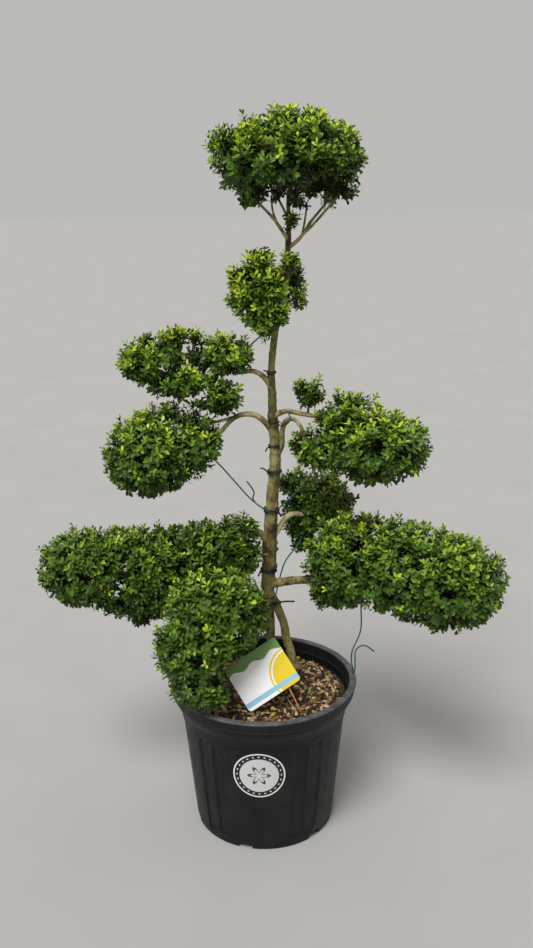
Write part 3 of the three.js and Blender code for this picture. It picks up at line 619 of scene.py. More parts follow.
def path_frames(path):
    """Two cross directions at each row of a path, turned as little as possible."""
    tangents = unit(np.gradient(path, axis=0))
    across = np.zeros_like(path)
    start = np.array((1.0, 0, 0)) if abs(tangents[0][0]) < 0.8 else np.array((0, 0, 1.0))
    for i, tangent in enumerate(tangents):
        start = unit(start - tangent * (start @ tangent))
        across[i] = start
    return across, np.cross(tangents, across)


def rays_round(across, over, sides):
    """Unit rays at even turns round each row's two cross directions: rows, sides, xyz."""
    turns = np.arange(sides) * math.tau / sides
    return across[:, None] * np.cos(turns)[None, :, None] + over[:, None] * np.sin(turns)[None, :, None]


def tube(path, radii, sides, relief=None):
    """(points, triangles) of a closed tube. relief(turn, along, radius) is added to the radius."""
    path = np.asarray(path, float)
    radii = np.broadcast_to(radii, len(path))
    across, over = path_frames(path)
    lengths = np.repeat(radii[:, None], sides, axis=1)
    if relief:
        turns = np.arange(sides) * math.tau / sides
        along = np.concatenate([[0], np.cumsum(np.linalg.norm(np.diff(path, axis=0), axis=1))])
        lengths = lengths + np.array([[relief(turn, distance, radius) for turn in turns]
                                      for distance, radius in zip(along, radii)])
    points = (path[:, None] + rays_round(across, over, sides) * lengths[..., None]).reshape(-1, 3)
    last = len(path) - 1
    rings = np.arange(last)[:, None] * sides
    corner = np.arange(sides)
    nearby = (corner + 1) % sides
    a, b = rings + corner, rings + nearby
    c, d = a + sides, b + sides
    bands = np.stack([np.stack([a, b, d], -1), np.stack([a, d, c], -1)], 2).reshape(-1, 3)
    middle = np.vstack([path[0], path[-1]])
    low, high = len(points), len(points) + 1
    caps = [(low, nearby[i], i) for i in corner]
    caps += [(high, last * sides + i, last * sides + nearby[i]) for i in corner]
    return np.vstack([points, middle]), np.vstack([bands, caps])


def twigs(starts, bends, ends, radii):
    """(points, triangles) of many closed three-sided twigs, each from start through bend to end."""
    path = np.stack([starts, bends, ends], axis=1)
    heading = unit(ends - starts)
    level = np.where(np.abs(heading[:, 2:]) > 0.9, [[1.0, 0, 0]], [[0, 0, 1.0]])
    across = unit(np.cross(heading, level))
    rays = rays_round(across, np.cross(heading, across), 3)
    radii = np.broadcast_to(radii, (len(starts), 3))
    points = path[:, :, None] + rays[:, None] * radii[:, :, None, None]
    own = [(0, 2, 1), (6, 7, 8)]
    for ring in (0, 3):
        for i in range(3):
            a, b = ring + i, ring + (i + 1) % 3
            own += [(a, b, b + 3), (a, b + 3, a + 3)]
    faces = np.asarray(own)[None] + (np.arange(len(starts)) * 9)[:, None, None]
    return points.reshape(-1, 3), faces.reshape(-1, 3)


# Materials
class Finish:
    """A node material, with short names for the nodes that the finishes below share."""

    def __init__(self, name, roughness=0.6):
        self.material = bpy.data.materials.new(name)
        self.material.use_nodes = True
        self.tree = self.material.node_tree
        self.shader = self.tree.nodes["Principled BSDF"]
        self.give(self.shader, {"Roughness": roughness})

    def give(self, node, inputs):
        """Sets a node's inputs: each is a number, a colour, or another node's output to wire to it."""
        for name, value in inputs.items():
            socket = node.inputs[name]
            if isinstance(value, bpy.types.NodeSocket):
                self.tree.links.new(value, socket)
            elif socket.type == "RGBA":
                socket.default_value = (*value, 1)
            else:
                socket.default_value = value

    def node(self, kind, inputs, **settings):
        """The outputs of a new node with these inputs and settings."""
        made = self.tree.nodes.new("ShaderNode" + kind)
        for name, value in settings.items():
            setattr(made, name, value)
        self.give(made, inputs)
        return made.outputs

    def place(self, stretch=(1, 1, 1), space="Object"):
        """The place on the piece, or in its print, stretched along each axis."""
        vector = self.node("TexCoord", {})[space]
        return self.node("Mapping", {"Scale": stretch, "Vector": vector})["Vector"]

    def parts(self, space="Object"):
        """The place's X, Y and Z."""
        return self.node("SeparateXYZ", {"Vector": self.place(space=space)})[:]

    def speckle(self, scale, detail=4.0, roughness=0.55, stretch=(1, 1, 1), space="Object"):
        """Soft noise, about 0.3 to 0.7."""
        inputs = {"Scale": scale, "Detail": detail, "Roughness": roughness}
        return self.node("TexNoise", {**inputs, "Vector": self.place(stretch, space)})["Fac"]

    def cells(self, scale, output="Distance"):
        """Grains of one colour each, or the distance from their middles."""
        return self.node("TexVoronoi", {"Scale": scale, "Vector": self.place()})[output]

    def ramp(self, factor, stops):
        """Colour along (position, colour) stops."""
        ramp = self.tree.nodes.new("ShaderNodeValToRGB")
        elements = ramp.color_ramp.elements
        while len(elements) < len(stops):
            elements.new(0.5)
        for element, (position, colour) in zip(elements, stops):
            element.position = position
            element.color = (*colour, 1)
        self.give(ramp, {"Fac": factor})
        return ramp.outputs["Color"]

    def between(self, value, low, high, to_low=0.0, to_high=1.0):
        """The value moved from one range to another, and held within it."""
        ends = {"From Min": low, "From Max": high, "To Min": to_low, "To Max": to_high}
        return self.node("MapRange", {**ends, "Value": value})["Result"]

    def band(self, value, low_edge, high_edge):
        """1 within a band of the value. An edge is (where it is 0, where it is 1)."""
        return self.maths("MULTIPLY", self.between(value, *low_edge), self.between(value, *high_edge))

    def maths(self, kind, first, second=0):
        """One sum of one or two values, each a number or a node's output."""
        return self.node("Math", {0: first, 1: second}, operation=kind)["Value"]

    def distance(self, across, up):
        """How far a place is from the middle."""
        squares = self.maths("MULTIPLY", across, across), self.maths("MULTIPLY", up, up)
        return self.maths("SQRT", self.maths("ADD", *squares))

    def mix(self, factor, first, second):
        """The first colour where the factor is 0, and the second where it is 1."""
        return self.node("Mix", {"Factor": factor, 6: first, 7: second}, data_type="RGBA")[2]

    def colour(self, source):
        """The shader's colour."""
        self.give(self.shader, {"Base Color": source})

    def rough(self, source):
        """The shader's roughness."""
        self.give(self.shader, {"Roughness": source})

    def gloss(self, level):
        """How much light the surface mirrors."""
        self.give(self.shader, {"Specular IOR Level": level})

    def bump(self, height, strength, distance):
        """Small relief in the shader's light alone."""
        relief = self.node("Bump", {"Strength": strength, "Distance": distance, "Height": height})
        self.give(self.shader, {"Normal": relief["Normal"]})


def mottled(name, roughness, noise_settings, stops):
    """A material whose colour runs along stops with one noise."""
    finish = Finish(name, roughness)
    finish.colour(finish.ramp(finish.speckle(*noise_settings), stops))
    return finish.material


def pot_plastic():
    """Near-black moulded plastic: faint mottling, dust and fine scuffs; a rim worn pale on top and painted
    paler there as a highlight; a painted highlight along the lip's lower edge, and painted shade under the
    lip and the shoulder step.
    """
    finish = Finish("pot_plastic", 0.5)
    finish.gloss(0.28)
    _, _, height = finish.parts()
    mottle = finish.ramp(finish.speckle(26), [
        (0.3, (0.0042, 0.0044, 0.0047)), (0.7, (0.0086, 0.0089, 0.0094)),
    ])
    dust = finish.between(finish.speckle(9, 6), 0.50, 0.78, 0.0, 0.34)
    dusty = finish.mix(dust, mottle, (0.046, 0.043, 0.038))
    scuffs = finish.between(finish.speckle(70, 3, 0.6, (1, 1, 0.08)), 0.63, 0.75, 0.0, 0.22)
    scuffed = finish.mix(scuffs, dusty, (0.075, 0.075, 0.075))
    spots = finish.between(finish.cells(75), 0.10, 0.05, 0.0, 0.30)
    spotted = finish.mix(finish.maths("MULTIPLY", spots, finish.between(finish.speckle(13), 0.50, 0.62)),
                         scuffed, (0.16, 0.155, 0.145))
    # Wear and painted highlight: the rim's top is painted paler where it is worn, and also as a highlight
    # where light catches its rounded edge.
    lit_worn_rim_top = finish.between(height, POT_HEIGHT - 0.0052, POT_HEIGHT - 0.0010)
    worn = finish.between(finish.speckle(38, 5, 0.65), 0.30, 0.62, 0.25, 1.0)
    rim = finish.maths("MULTIPLY", lit_worn_rim_top, worn)
    from_lip = finish.maths("SUBTRACT", height, LIP_BOTTOM)
    from_step = finish.maths("SUBTRACT", height, SHOULDER_BOTTOM)
    # Painted highlight: a thin paler band along the lip's lower edge.
    lip_edge_highlight = finish.band(from_lip, (-0.0015, 0.0005), (0.0050, 0.0015))
    lip_highlighted = finish.mix(finish.maths("MULTIPLY", lip_edge_highlight, 0.5), spotted, (0.040, 0.041, 0.043))
    # Painted shade: near-black bands under the lip and under the shoulder step, where shade falls.
    under_lip = finish.band(from_lip, (-0.0150, -0.0040), (0.0004, -0.0004))
    under_step = finish.band(from_step, (-0.0050, -0.0010), (0.0016, 0.0006))
    shaded = finish.maths("MAXIMUM", under_lip, under_step)
    painted_shade = finish.mix(finish.maths("MULTIPLY", shaded, 0.8), lip_highlighted, (0.0020, 0.0020, 0.0021))
    finish.colour(finish.mix(rim, painted_shade, (0.120, 0.122, 0.124)))
    finish.rough(finish.between(finish.speckle(45), 0.3, 0.7, 0.40, 0.58))
    finish.bump(finish.speckle(420, 3), 0.12, 0.0006)
    return finish.material


def bark():
    """Olive-grey bark with green algae, paler patches and dark rings and furrows."""
    finish = Finish("bark", 0.85)
    ground = finish.ramp(finish.speckle(34, 5, 0.62, (1, 1, 0.5)), [
        (0.35, (0.026, 0.018, 0.006)), (0.45, (0.125, 0.095, 0.030)), (0.55, (0.310, 0.250, 0.088)),
        (0.68, (0.470, 0.390, 0.170)),
    ])
    algae = finish.between(finish.speckle(14, 5, 0.6, (1, 1, 0.6)), 0.44, 0.60, 0.0, 0.60)
    green = finish.mix(algae, ground, (0.165, 0.165, 0.036))
    rings = finish.between(finish.speckle(26, 3, 0.5, (0.25, 0.25, 3.2)), 0.58, 0.68, 0.0, 0.6)
    flecks = finish.between(finish.speckle(120, 3, 0.6, (1, 1, 0.6)), 0.54, 0.62, 0.0, 0.55)
    finish.colour(finish.mix(flecks, finish.mix(rings, green, (0.024, 0.018, 0.009)), (0.030, 0.022, 0.010)))
    finish.rough(finish.between(finish.speckle(60), 0.3, 0.7, 0.75, 0.95))
    finish.bump(finish.speckle(230, 6, 0.65, (1, 1, 0.35)), 0.7, 0.0018)
    return finish.material


def pale_bark(name, dark, middle, light, green):
    """Smoother, paler bark of the thin boughs and crown boughs, with so much green over it."""
    finish = Finish(name, 0.8)
    ground = finish.ramp(finish.speckle(46, 4, 0.6), [(0.34, dark), (0.48, middle), (0.66, light)])
    algae = finish.between(finish.speckle(18, 4), 0.48, 0.64, 0.0, green)
    finish.colour(finish.mix(algae, ground, (0.150, 0.150, 0.038)))
    finish.bump(finish.speckle(260, 5, 0.6), 0.5, 0.0014)
    return finish.material


def twig_bark():
    """Yellow-brown twigs, mottled with a little green."""
    return mottled("twig_bark", 0.7, (60, 3), [
        (0.35, (0.060, 0.048, 0.020)), (0.55, (0.135, 0.110, 0.040)), (0.75, (0.120, 0.130, 0.045)),
    ])


def leaf_finish(kind):
    """Glossy leaf of one plain green."""
    finish = Finish("leaf_" + kind, 0.37)
    finish.colour(LEAF_COLOURS[kind])
    finish.gloss(0.36)
    return finish.material


def berry_skin():
    """Black berries, a few of them still green."""
    return mottled("berry_skin", 0.3, (12, 2), [(0.45, (0.012, 0.016, 0.010)), (0.6, (0.05, 0.07, 0.02))])


def moist_mix():
    """Fine dark composted bark under the chips."""
    finish = Finish("moist_mix", 0.95)
    grain = finish.cells(240, "Color")
    finish.colour(finish.ramp(grain, [
        (0.2, (0.006, 0.004, 0.003)), (0.60, (0.030, 0.018, 0.010)), (0.88, (0.200, 0.120, 0.060)),
    ]))
    finish.bump(finish.speckle(300, 6), 0.9, 0.003)
    return finish.material


def chip_bark(name, dark, light):
    """Bark chip: fibrous streaks between two browns."""
    finish = Finish(name, 0.85)
    streaks = finish.speckle(170, 4, 0.6, (1, 0.4, 1))
    patches = finish.speckle(38, 2)
    both = finish.maths("MULTIPLY", finish.maths("ADD", streaks, patches), 0.5)
    finish.colour(finish.ramp(both, [(0.38, dark), (0.62, light)]))
    finish.bump(finish.speckle(500, 4), 0.5, 0.001)
    return finish.material


def label_print():
    """Black outer ring, thin pale border and a light speckled disc with a ring of plain dots."""
    finish = Finish("label_print", 0.42)
    across, up, _ = finish.parts("UV")
    from_middle = finish.distance(across, up)
    speckled = finish.ramp(finish.speckle(90, 3, 0.7, space="UV"), [
        (0.35, (0.45, 0.46, 0.46)), (0.60, (0.78, 0.79, 0.78)),
    ])
    black, white = (0.010, 0.010, 0.011), (0.88, 0.88, 0.87)
    border = finish.between(from_middle, 0.724, 0.732)
    line = finish.between(from_middle, 0.914, 0.922)
    edge = finish.between(from_middle, 0.966, 0.974)
    print_colour = finish.mix(border, speckled, black)
    print_colour = finish.mix(line, print_colour, white)
    print_colour = finish.mix(edge, print_colour, black)
    turn = finish.maths("ARCTAN2", up, across)
    wave = finish.maths("COSINE", finish.maths("MULTIPLY", turn, 24.0))
    dots = finish.maths("MULTIPLY", finish.between(wave, 0.55, 0.70),
                        finish.band(from_middle, (0.798, 0.806), (0.850, 0.842)))
    print_colour = finish.mix(dots, print_colour, white)
    petals = finish.maths("COSINE", finish.maths("MULTIPLY", turn, 6.0))
    reach = finish.between(petals, -1.0, 1.0, 0.16, 0.44)
    rosette = finish.between(finish.maths("SUBTRACT", reach, from_middle), 0.0, 0.012)
    inner_reach = finish.maths("MULTIPLY", reach, 0.72)
    hollow = finish.between(finish.maths("SUBTRACT", inner_reach, from_middle), 0.0, 0.012)
    print_colour = finish.mix(rosette, print_colour, (0.045, 0.046, 0.048))
    print_colour = finish.mix(hollow, print_colour, speckled)
    finish.colour(print_colour)
    return finish.material


def card_print():
    """White card with a yellow quarter disc, a leafy green field and a pale-blue band."""
    finish = Finish("card_print", 0.3)
    across, up, _ = finish.parts("UV")
    white = (0.97, 0.97, 0.96)
    leafy = finish.ramp(finish.speckle(52, 4, 0.7, space="UV"), [
        (0.36, (0.050, 0.150, 0.025)), (0.52, (0.150, 0.310, 0.060)), (0.66, (0.380, 0.500, 0.160)),
    ])
    waves = finish.maths("MULTIPLY", finish.maths("SINE", finish.maths("MULTIPLY", across, 17.0)), 0.035)
    field = finish.between(finish.maths("SUBTRACT", up, finish.maths("ADD", waves, 0.78)), 0.0, 0.008)
    blue = finish.between(finish.maths("ABSOLUTE", finish.maths("SUBTRACT", up, 0.12)), 0.055, 0.047)
    away_x = finish.maths("SUBTRACT", across, 1.0)
    away_y = finish.maths("SUBTRACT", finish.maths("MULTIPLY", up, 0.82), 0.16)
    from_corner = finish.distance(away_x, away_y)
    sun = finish.between(from_corner, 0.386, 0.380)
    ring = finish.band(from_corner, (0.408, 0.414), (0.446, 0.440))
    yellow = (0.85, 0.62, 0.02)
    print_colour = finish.mix(sun, white, yellow)
    print_colour = finish.mix(ring, print_colour, yellow)
    print_colour = finish.mix(blue, print_colour, (0.30, 0.58, 0.72))
    print_colour = finish.mix(field, print_colour, leafy)
    finish.colour(print_colour)
    return finish.material


def stick_wood():
    """Orange-brown wood with its grain along the stick."""
    return mottled("stick_wood", 0.65, (90, 3, 0.5, (1, 1, 0.1)), [
        (0.35, (0.38, 0.16, 0.045)), (0.65, (0.58, 0.29, 0.10)),
    ])


def soft_rubber(name, dark, light):
    """Ties and wire sheath: slightly mottled matt rubber."""
    return mottled(name, 0.55, (80, 3), [(0.35, dark), (0.7, light)])


def studio_floor():
    """Plain pale grey floor."""
    return mottled("studio_floor", 0.9, (3, 2), [
        (0.3, (0.425, 0.415, 0.400)), (0.7, (0.445, 0.435, 0.420)),
    ])


# Pot, mix, label and tag
def wall_radius(height):
    """Radius of the pot's slanting wall at a height."""
    slope = (BODY_TOP_RADIUS - BASE_RADIUS) / (SHOULDER_BOTTOM - BASE_ROUNDING)
    return BASE_RADIUS + (height - BASE_ROUNDING) * slope


def quarter_round(radius, height, rounding, start, end, steps):
    """(radius, height) pairs along an arc about a centre, from one angle to the other."""
    turns = [math.radians(start + (end - start) * i / steps) for i in range(steps + 1)]
    return [(radius + rounding * math.cos(turn), height + rounding * math.sin(turn)) for turn in turns]


def pot_profile():
    """(radius, height) pairs from the middle of the underside, up outside, and down inside."""
    rows = [(radius, 0.0) for radius in UNDERSIDE_RINGS]
    rows += quarter_round(BASE_RADIUS - BASE_ROUNDING, BASE_ROUNDING, BASE_ROUNDING, -90, 0, 6)
    heights = np.linspace(BASE_ROUNDING, SHOULDER_BOTTOM, WALL_ROWS)[1:]
    rows += [(wall_radius(height), height) for height in heights]
    rows += [(radius, POT_HEIGHT - depth) for radius, depth in SHOULDER]
    rows += [(LIP_BOTTOM_RADIUS + out, LIP_BOTTOM + up) for out, up in LIP_EDGE]
    rows += quarter_round(RIM_RADIUS - RIM_ROUNDING, POT_HEIGHT - RIM_ROUNDING, RIM_ROUNDING, 0, 90, 6)
    inner = RIM_INNER_RADIUS + RIM_INNER_ROUNDING
    rows += [(inner, POT_HEIGHT)]
    rows += quarter_round(inner, POT_HEIGHT - RIM_INNER_ROUNDING, RIM_INNER_ROUNDING, 90, 180, 4)[1:]
    rows += [(THROAT_RADIUS, LIP_BOTTOM), (BODY_TOP_RADIUS - POT_WALL, SHOULDER_BOTTOM)]
    rows += [(wall_radius(POT_FLOOR) - POT_WALL, POT_FLOOR)]
    return rows + [(radius, POT_FLOOR) for radius in reversed(UNDERSIDE_RINGS[:2])]


def flute_depth(angle, height):
    """How deep the wall is pressed in at a place: pairs of upright flutes with rounded ends."""
    radius = wall_radius(height)
    deepest = 0.0
    for i in range(PANEL_COUNT):
        for side in (-0.5, 0.5):
            centre = FRONT_PANEL_ANGLE + (i + 0.5) * 360 / PANEL_COUNT + side * FLUTE_SPACING
            across = radius * math.radians((angle - centre + 180) % 360 - 180)
            above = height - min(max(height, FLUTE_BOTTOM), FLUTE_TOP)
            inside = (FLUTE_WIDTH / 2 - math.hypot(across, above)) / FLUTE_EDGE
            share = min(max(inside, 0.0), 1.0)
            deepest = max(deepest, FLUTE_DEPTH * share * share * (3 - 2 * share))
    return deepest


def turned(profile, segments, pressed=None):
    """(points, quads, end triangles) of a profile turned about Z. Its two ends lie on the axis."""
    ring = [i for i, (radius, _) in enumerate(profile) if radius > 0]
    angles = np.arange(segments) * 360 / segments
    points = []
    for i in ring:
        radius, height = profile[i]
        for angle in angles:
            depth = pressed(angle, height, i) if pressed else 0.0
            points.append(outwards(angle) * (radius - depth) + (0, 0, height))
    rows = np.arange(len(ring) - 1)[:, None] * segments
    here = np.arange(segments)
    after = (here + 1) % segments
    a, b = rows + here, rows + after
    quads = np.stack([a, b, b + segments, a + segments], -1).reshape(-1, 4)
    low, high = len(points), len(points) + 1
    points += [np.array((0, 0, profile[0][1])), np.array((0, 0, profile[-1][1]))]
    last = (len(ring) - 1) * segments
    fans = [(low, after[i], here[i], here[i]) for i in range(segments)]
    fans += [(high, last + here[i], last + after[i], last + after[i]) for i in range(segments)]
    return np.array(points), quads, np.array(fans)[:, :3]


def triangles(quads, fans):
    """A turned shape's quads in halves, and its end fans."""
    return np.vstack([quads[:, [0, 1, 2]], quads[:, [0, 2, 3]], fans])


def notch_cutters():
    """(points, triangles) of the blocks that cut the notches round the pot's foot."""
    half, slope = NOTCH_WIDTH / 2, NOTCH_HEIGHT / 2
    outline = [(-half, -NOTCH_HEIGHT), (half, -NOTCH_HEIGHT), (half - slope, NOTCH_HEIGHT),
               (-half + slope, NOTCH_HEIGHT)]
    faces = [(0, 3, 2), (0, 2, 1), (4, 5, 6), (4, 6, 7)]
    for here in range(4):
        after = (here + 1) % 4
        faces += [(here, after, after + 4), (here, after + 4, here + 4)]
    blocks = []
    for i in range(NOTCH_COUNT):
        out = outwards(FIRST_NOTCH_ANGLE + i * 360 / NOTCH_COUNT)
        side = np.array((-out[1], out[0], 0.0))
        corners = [out * reach + side * x + np.array((0, 0, z))
                   for reach in (BASE_RADIUS - NOTCH_REACH, BASE_RADIUS + NOTCH_REACH) for x, z in outline]
        blocks.append((corners, faces))
    return joined(blocks)


def make_pot():
    """The pot turned with its flutes, then notched along its lower corner."""
    profile = pot_profile()
    wall = {i for i, (radius, height) in enumerate(profile)
            if BASE_ROUNDING <= height <= SHOULDER_BOTTOM and radius >= wall_radius(height) - TINY}

    def pressed(angle, height, i):
        """How deep the outer wall is pressed in. Nothing else of the profile is."""
        return flute_depth(angle, height) if i in wall else 0.0

    points, quads, fans = turned(profile, POT_SEGMENTS, pressed)
    pot = mesh_object("nursery_pot_wall", points, triangles(quads, fans), pot_plastic())
    cutter = mesh_object("notch_cutter", *notch_cutters(), pot.data.materials[0], smooth=False)
    cut = pot.modifiers.new("notches", "BOOLEAN")
    cut.operation = "DIFFERENCE"
    cut.object = cutter
    cut.solver = "EXACT"
    apply_modifiers(pot)
    bpy.data.objects.remove(cutter)
    shade_by_angle(pot, POT_CRISP_ANGLE)
    dress(pot, "nursery_pot", "nursery_pot")


def shade_by_angle(made, degrees):
    """Smooth shading with edges sharper than the angle kept crisp."""
    made.data.polygons.foreach_set("use_smooth", np.ones(len(made.data.polygons), bool))
    made.data.set_sharp_from_angle(angle=math.radians(degrees))


def mix_height(x, y):
    """Height of the potting mix at a place: flat in the middle, lower at the wall, and uneven."""
    radius = math.hypot(x, y)
    fall = max(0.0, radius - MIX_FLAT_RADIUS) / (MIX_EDGE_RADIUS - MIX_FLAT_RADIUS)
    level = MIX_TOP - CHIP_BED + (MIX_EDGE_TOP - MIX_TOP) * fall
    return level + MIX_RELIEF * noise.noise(Vector((x, y, 0)) * MIX_RELIEF_SCALE)


def make_mix():
    """The bed of potting mix, with its relief on top and plain sides down inside the pot."""
    radii = [0.0, *np.linspace(MIX_FIRST_RING, MIX_EDGE_RADIUS, MIX_RINGS)]
    floor = POT_FLOOR + MIX_GAP
    profile = [(0.0, floor), (wall_radius(POT_FLOOR) - MIX_FLOOR_INSET, floor),
               (BODY_TOP_RADIUS - POT_WALL - MIX_GAP, SHOULDER_BOTTOM)]
    profile += [(radius, MIX_TOP) for radius in reversed(radii)]
    points, quads, fans = turned(profile, MIX_SEGMENTS)
    top = points[:, 2] > (SHOULDER_BOTTOM + MIX_TOP) / 2
    points[top, 2] = [mix_height(x, y) for x, y in points[top, :2]]
    bed = mesh_object("potting_mix_bed", points, triangles(quads, fans), moist_mix())
    dress(bed, "potting_mix", "potting_mix")


def scatter_tree():
    """Geometry Nodes: an object scattered over a surface, each copy turned and sized at random."""
    tree = bpy.data.node_groups.new("scatter_on_surface", "GeometryNodeTree")
    face = tree.interface
    face.new_socket(name="Surface", in_out="INPUT", socket_type="NodeSocketGeometry")
    sizes = {}
    for name, kind in (("Spacing", "Float"), ("Density", "Float"), ("Seed", "Int"), ("Smallest", "Float"),
                       ("Largest", "Float"), ("Tilt", "Float"), ("Piece", "Object"), ("Finish", "Material")):
        socket = face.new_socket(name=name, in_out="INPUT", socket_type="NodeSocket" + kind)
        sizes[name] = socket.identifier
    face.new_socket(name="Scattered", in_out="OUTPUT", socket_type="NodeSocketGeometry")
    start = tree.nodes.new("NodeGroupInput")
    end = tree.nodes.new("NodeGroupOutput")
    spread = tree.nodes.new("GeometryNodeDistributePointsOnFaces")
    spread.distribute_method = "POISSON"
    piece = tree.nodes.new("GeometryNodeObjectInfo")
    copies = tree.nodes.new("GeometryNodeInstanceOnPoints")
    turns = tree.nodes.new("FunctionNodeRandomValue")
    turns.data_type = "FLOAT_VECTOR"
    lean = tree.nodes.new("ShaderNodeCombineXYZ")
    lean.inputs["Z"].default_value = math.tau
    lean_back = tree.nodes.new("ShaderNodeCombineXYZ")
    minus = tree.nodes.new("ShaderNodeMath")
    minus.operation = "MULTIPLY"
    minus.inputs[1].default_value = -1
    scales = tree.nodes.new("FunctionNodeRandomValue")
    scales.data_type = "FLOAT"
    real = tree.nodes.new("GeometryNodeRealizeInstances")
    painted = tree.nodes.new("GeometryNodeSetMaterial")
    for source, output, target, place in (
            (start, "Surface", spread, "Mesh"), (start, "Spacing", spread, "Distance Min"),
            (start, "Density", spread, "Density Max"), (start, "Seed", spread, "Seed"),
            (start, "Piece", piece, "Object"), (start, "Tilt", lean, "X"), (start, "Tilt", lean, "Y"),
            (start, "Tilt", minus, 0), (minus, "Value", lean_back, "X"), (minus, "Value", lean_back, "Y"),
            (lean_back, "Vector", turns, "Min"), (lean, "Vector", turns, "Max"),
            (start, "Seed", turns, "Seed"), (start, "Smallest", scales, 2), (start, "Largest", scales, 3),
            (start, "Seed", scales, "Seed"), (spread, "Points", copies, "Points"),
            (piece, "Geometry", copies, "Instance"), (turns, "Value", copies, "Rotation"),
            (scales, 1, copies, "Scale"), (copies, "Instances", real, "Geometry"),
            (real, "Geometry", painted, "Geometry"), (start, "Finish", painted, "Material"),
            (painted, "Geometry", end, "Scattered")):
        tree.links.new(source.outputs[output], target.inputs[place])
    return tree, sizes


def chip_shape(seed):
    """(points, triangles) of one bark chip, a thin broken slab about a chip length long."""
    random = np.random.default_rng(seed)
    count = 5 + seed % 2
    uneven = random.uniform(0, math.tau, count) * CHIP_UNEVENNESS
    turns = np.sort(uneven + np.arange(count) * math.tau / count)
    reach = random.uniform(*CHIP_REACH, count)
    along = np.cos(turns) * reach * CHIP_LENGTH / 2
    across = np.sin(turns) * reach * CHIP_LENGTH / CHIP_SLIMNESS
    outline = np.stack([along, across], 1)
    bend = -CHIP_BEND * outline[:, :1] ** 2 / CHIP_LENGTH
    thick = CHIP_LENGTH * CHIP_THICKNESS
    top = np.hstack([outline * CHIP_TOP_SHARE, bend + thick])
    bottom = np.hstack([outline, bend - thick])
    points = np.vstack([top, bottom, [[0, 0, thick * 1.5]], [[0, 0, -thick]]])
    faces = []
    for i in range(count):
        after = (i + 1) % count
        faces += [(2 * count, i, after), (2 * count + 1, count + after, count + i)]
        faces += [(count + i, count + after, after), (count + i, after, i)]
    return points, faces


def make_chips():
    """Bark chips of three browns, scattered on the mix by Geometry Nodes."""
    outermost = MIX_EDGE_RADIUS - CHIP_MARGIN
    radii = [0.0, *np.linspace(CHIP_FIRST_RING, outermost, CHIP_RINGS), 0.0]
    points, quads, _ = turned([(radius, MIX_TOP) for radius in radii], CHIP_SEGMENTS)
    points[:, 2] = [mix_height(x, y) + CHIP_LIFT for x, y in points[:, :2]]
    upward = np.vstack([quads[:, [1, 2, 0]], quads[:, [2, 3, 0]]])
    tree, sizes = scatter_tree()
    browns = {
        "chips_brown": ((0.065, 0.030, 0.010), (0.350, 0.185, 0.068)),
        "chips_tan": ((0.190, 0.115, 0.048), (0.760, 0.540, 0.290)),
        "chips_dark": ((0.006, 0.004, 0.002), (0.042, 0.023, 0.012)),
    }
    for number, (name, (dark, light)) in enumerate(browns.items()):
        shape_points, shape_faces = chip_shape(70 + number)
        finish = chip_bark(name, dark, light)
        shape = mesh_object(name + "_shape", shape_points, shape_faces, finish, smooth=False)
        scattered = mesh_object(name, points, upward, finish)
        modifier = scattered.modifiers.new("scatter", "NODES")
        modifier.node_group = tree
        chosen = {"Spacing": CHIP_SPACING, "Density": CHIP_DENSITY, "Seed": 5 + number, "Smallest": 0.35,
                  "Largest": 1.25, "Tilt": 0.75, "Piece": shape, "Finish": finish}
        for socket, value in chosen.items():
            modifier[sizes[socket]] = value
        apply_modifiers(scattered)
        bpy.data.objects.remove(shape)
        dress(scattered, "potting_mix")


def sheet_object(name, front, back, faces, edge, finish):
    """A thin closed sheet from the points of its two faces, the front's triangles and its edge."""
    count = len(front)
    faces = faces + [(a + count, c + count, b + count) for a, b, c in faces]
    for a, b in zip(edge, edge[1:] + edge[:1]):
        faces += [(a, a + count, b + count), (a, b + count, b)]
    return mesh_object(name, front + back, faces, finish)


def make_label():
    """The round label: a polar sheet laid on the pot's slanting wall, closed at its edge and back."""
    rings, segments = LABEL_RINGS, LABEL_SEGMENTS
    out = outwards(FRONT_PANEL_ANGLE)
    side = np.array((-out[1], out[0], 0.0))

    def on_wall(across, up, lift):
        """The place on the pot's wall for a place on the flat label, lifted off the wall."""
        height = LABEL_HEIGHT + up
        radius = wall_radius(height) + lift
        turn = across / wall_radius(height)
        return radius * (out * math.cos(turn) + side * math.sin(turn)) + np.array((0, 0, height))

    flat = [(0.0, 0.0)]
    for ring in range(1, rings + 1):
        reach = LABEL_RADIUS * ring / rings
        flat += [(reach * math.cos(math.tau * i / segments), reach * math.sin(math.tau * i / segments))
                 for i in range(segments)]
    front = [on_wall(x, z, LABEL_STANDOFF) for x, z in flat]
    back = [on_wall(x, z, LABEL_STANDOFF - LABEL_THICKNESS) for x, z in flat]
    faces = [(0, 1 + i, 1 + (i + 1) % segments) for i in range(segments)]
    for ring in range(rings - 1):
        first = 1 + ring * segments
        for i in range(segments):
            a, b = first + i, first + (i + 1) % segments
            faces += [(a, a + segments, b + segments), (a, b + segments, b)]
    edge = list(range(len(flat) - segments, len(flat)))
    label = sheet_object("pot_label_disc", front, back, faces, edge, label_print())
    paint_coordinates(label, [(x / LABEL_RADIUS, z / LABEL_RADIUS) for x, z in flat + flat])
    shade_by_angle(label, SHEET_CRISP_ANGLE)
    dress(label, "label", "pot_label")


def paint_coordinates(made, rows):
    """Gives each corner of the mesh its own place in the print."""
    layer = made.data.uv_layers.new(name="print")
    rows = np.asarray(rows, np.float32)
    corners = np.zeros(len(made.data.loops), np.int32)
    made.data.loops.foreach_get("vertex_index", corners)
    layer.data.foreach_set("uv", rows[corners].ravel())


def card_place():
    """From the card's own plane to its place: leaning back and turned in its plane."""
    lean_back = Matrix.Rotation(math.radians(90 - CARD_LEAN_BACK), 4, "X")
    turn = Matrix.Rotation(math.radians(CARD_TURN), 4, "Z")
    return Matrix.Translation(CARD_CENTRE) @ lean_back @ turn


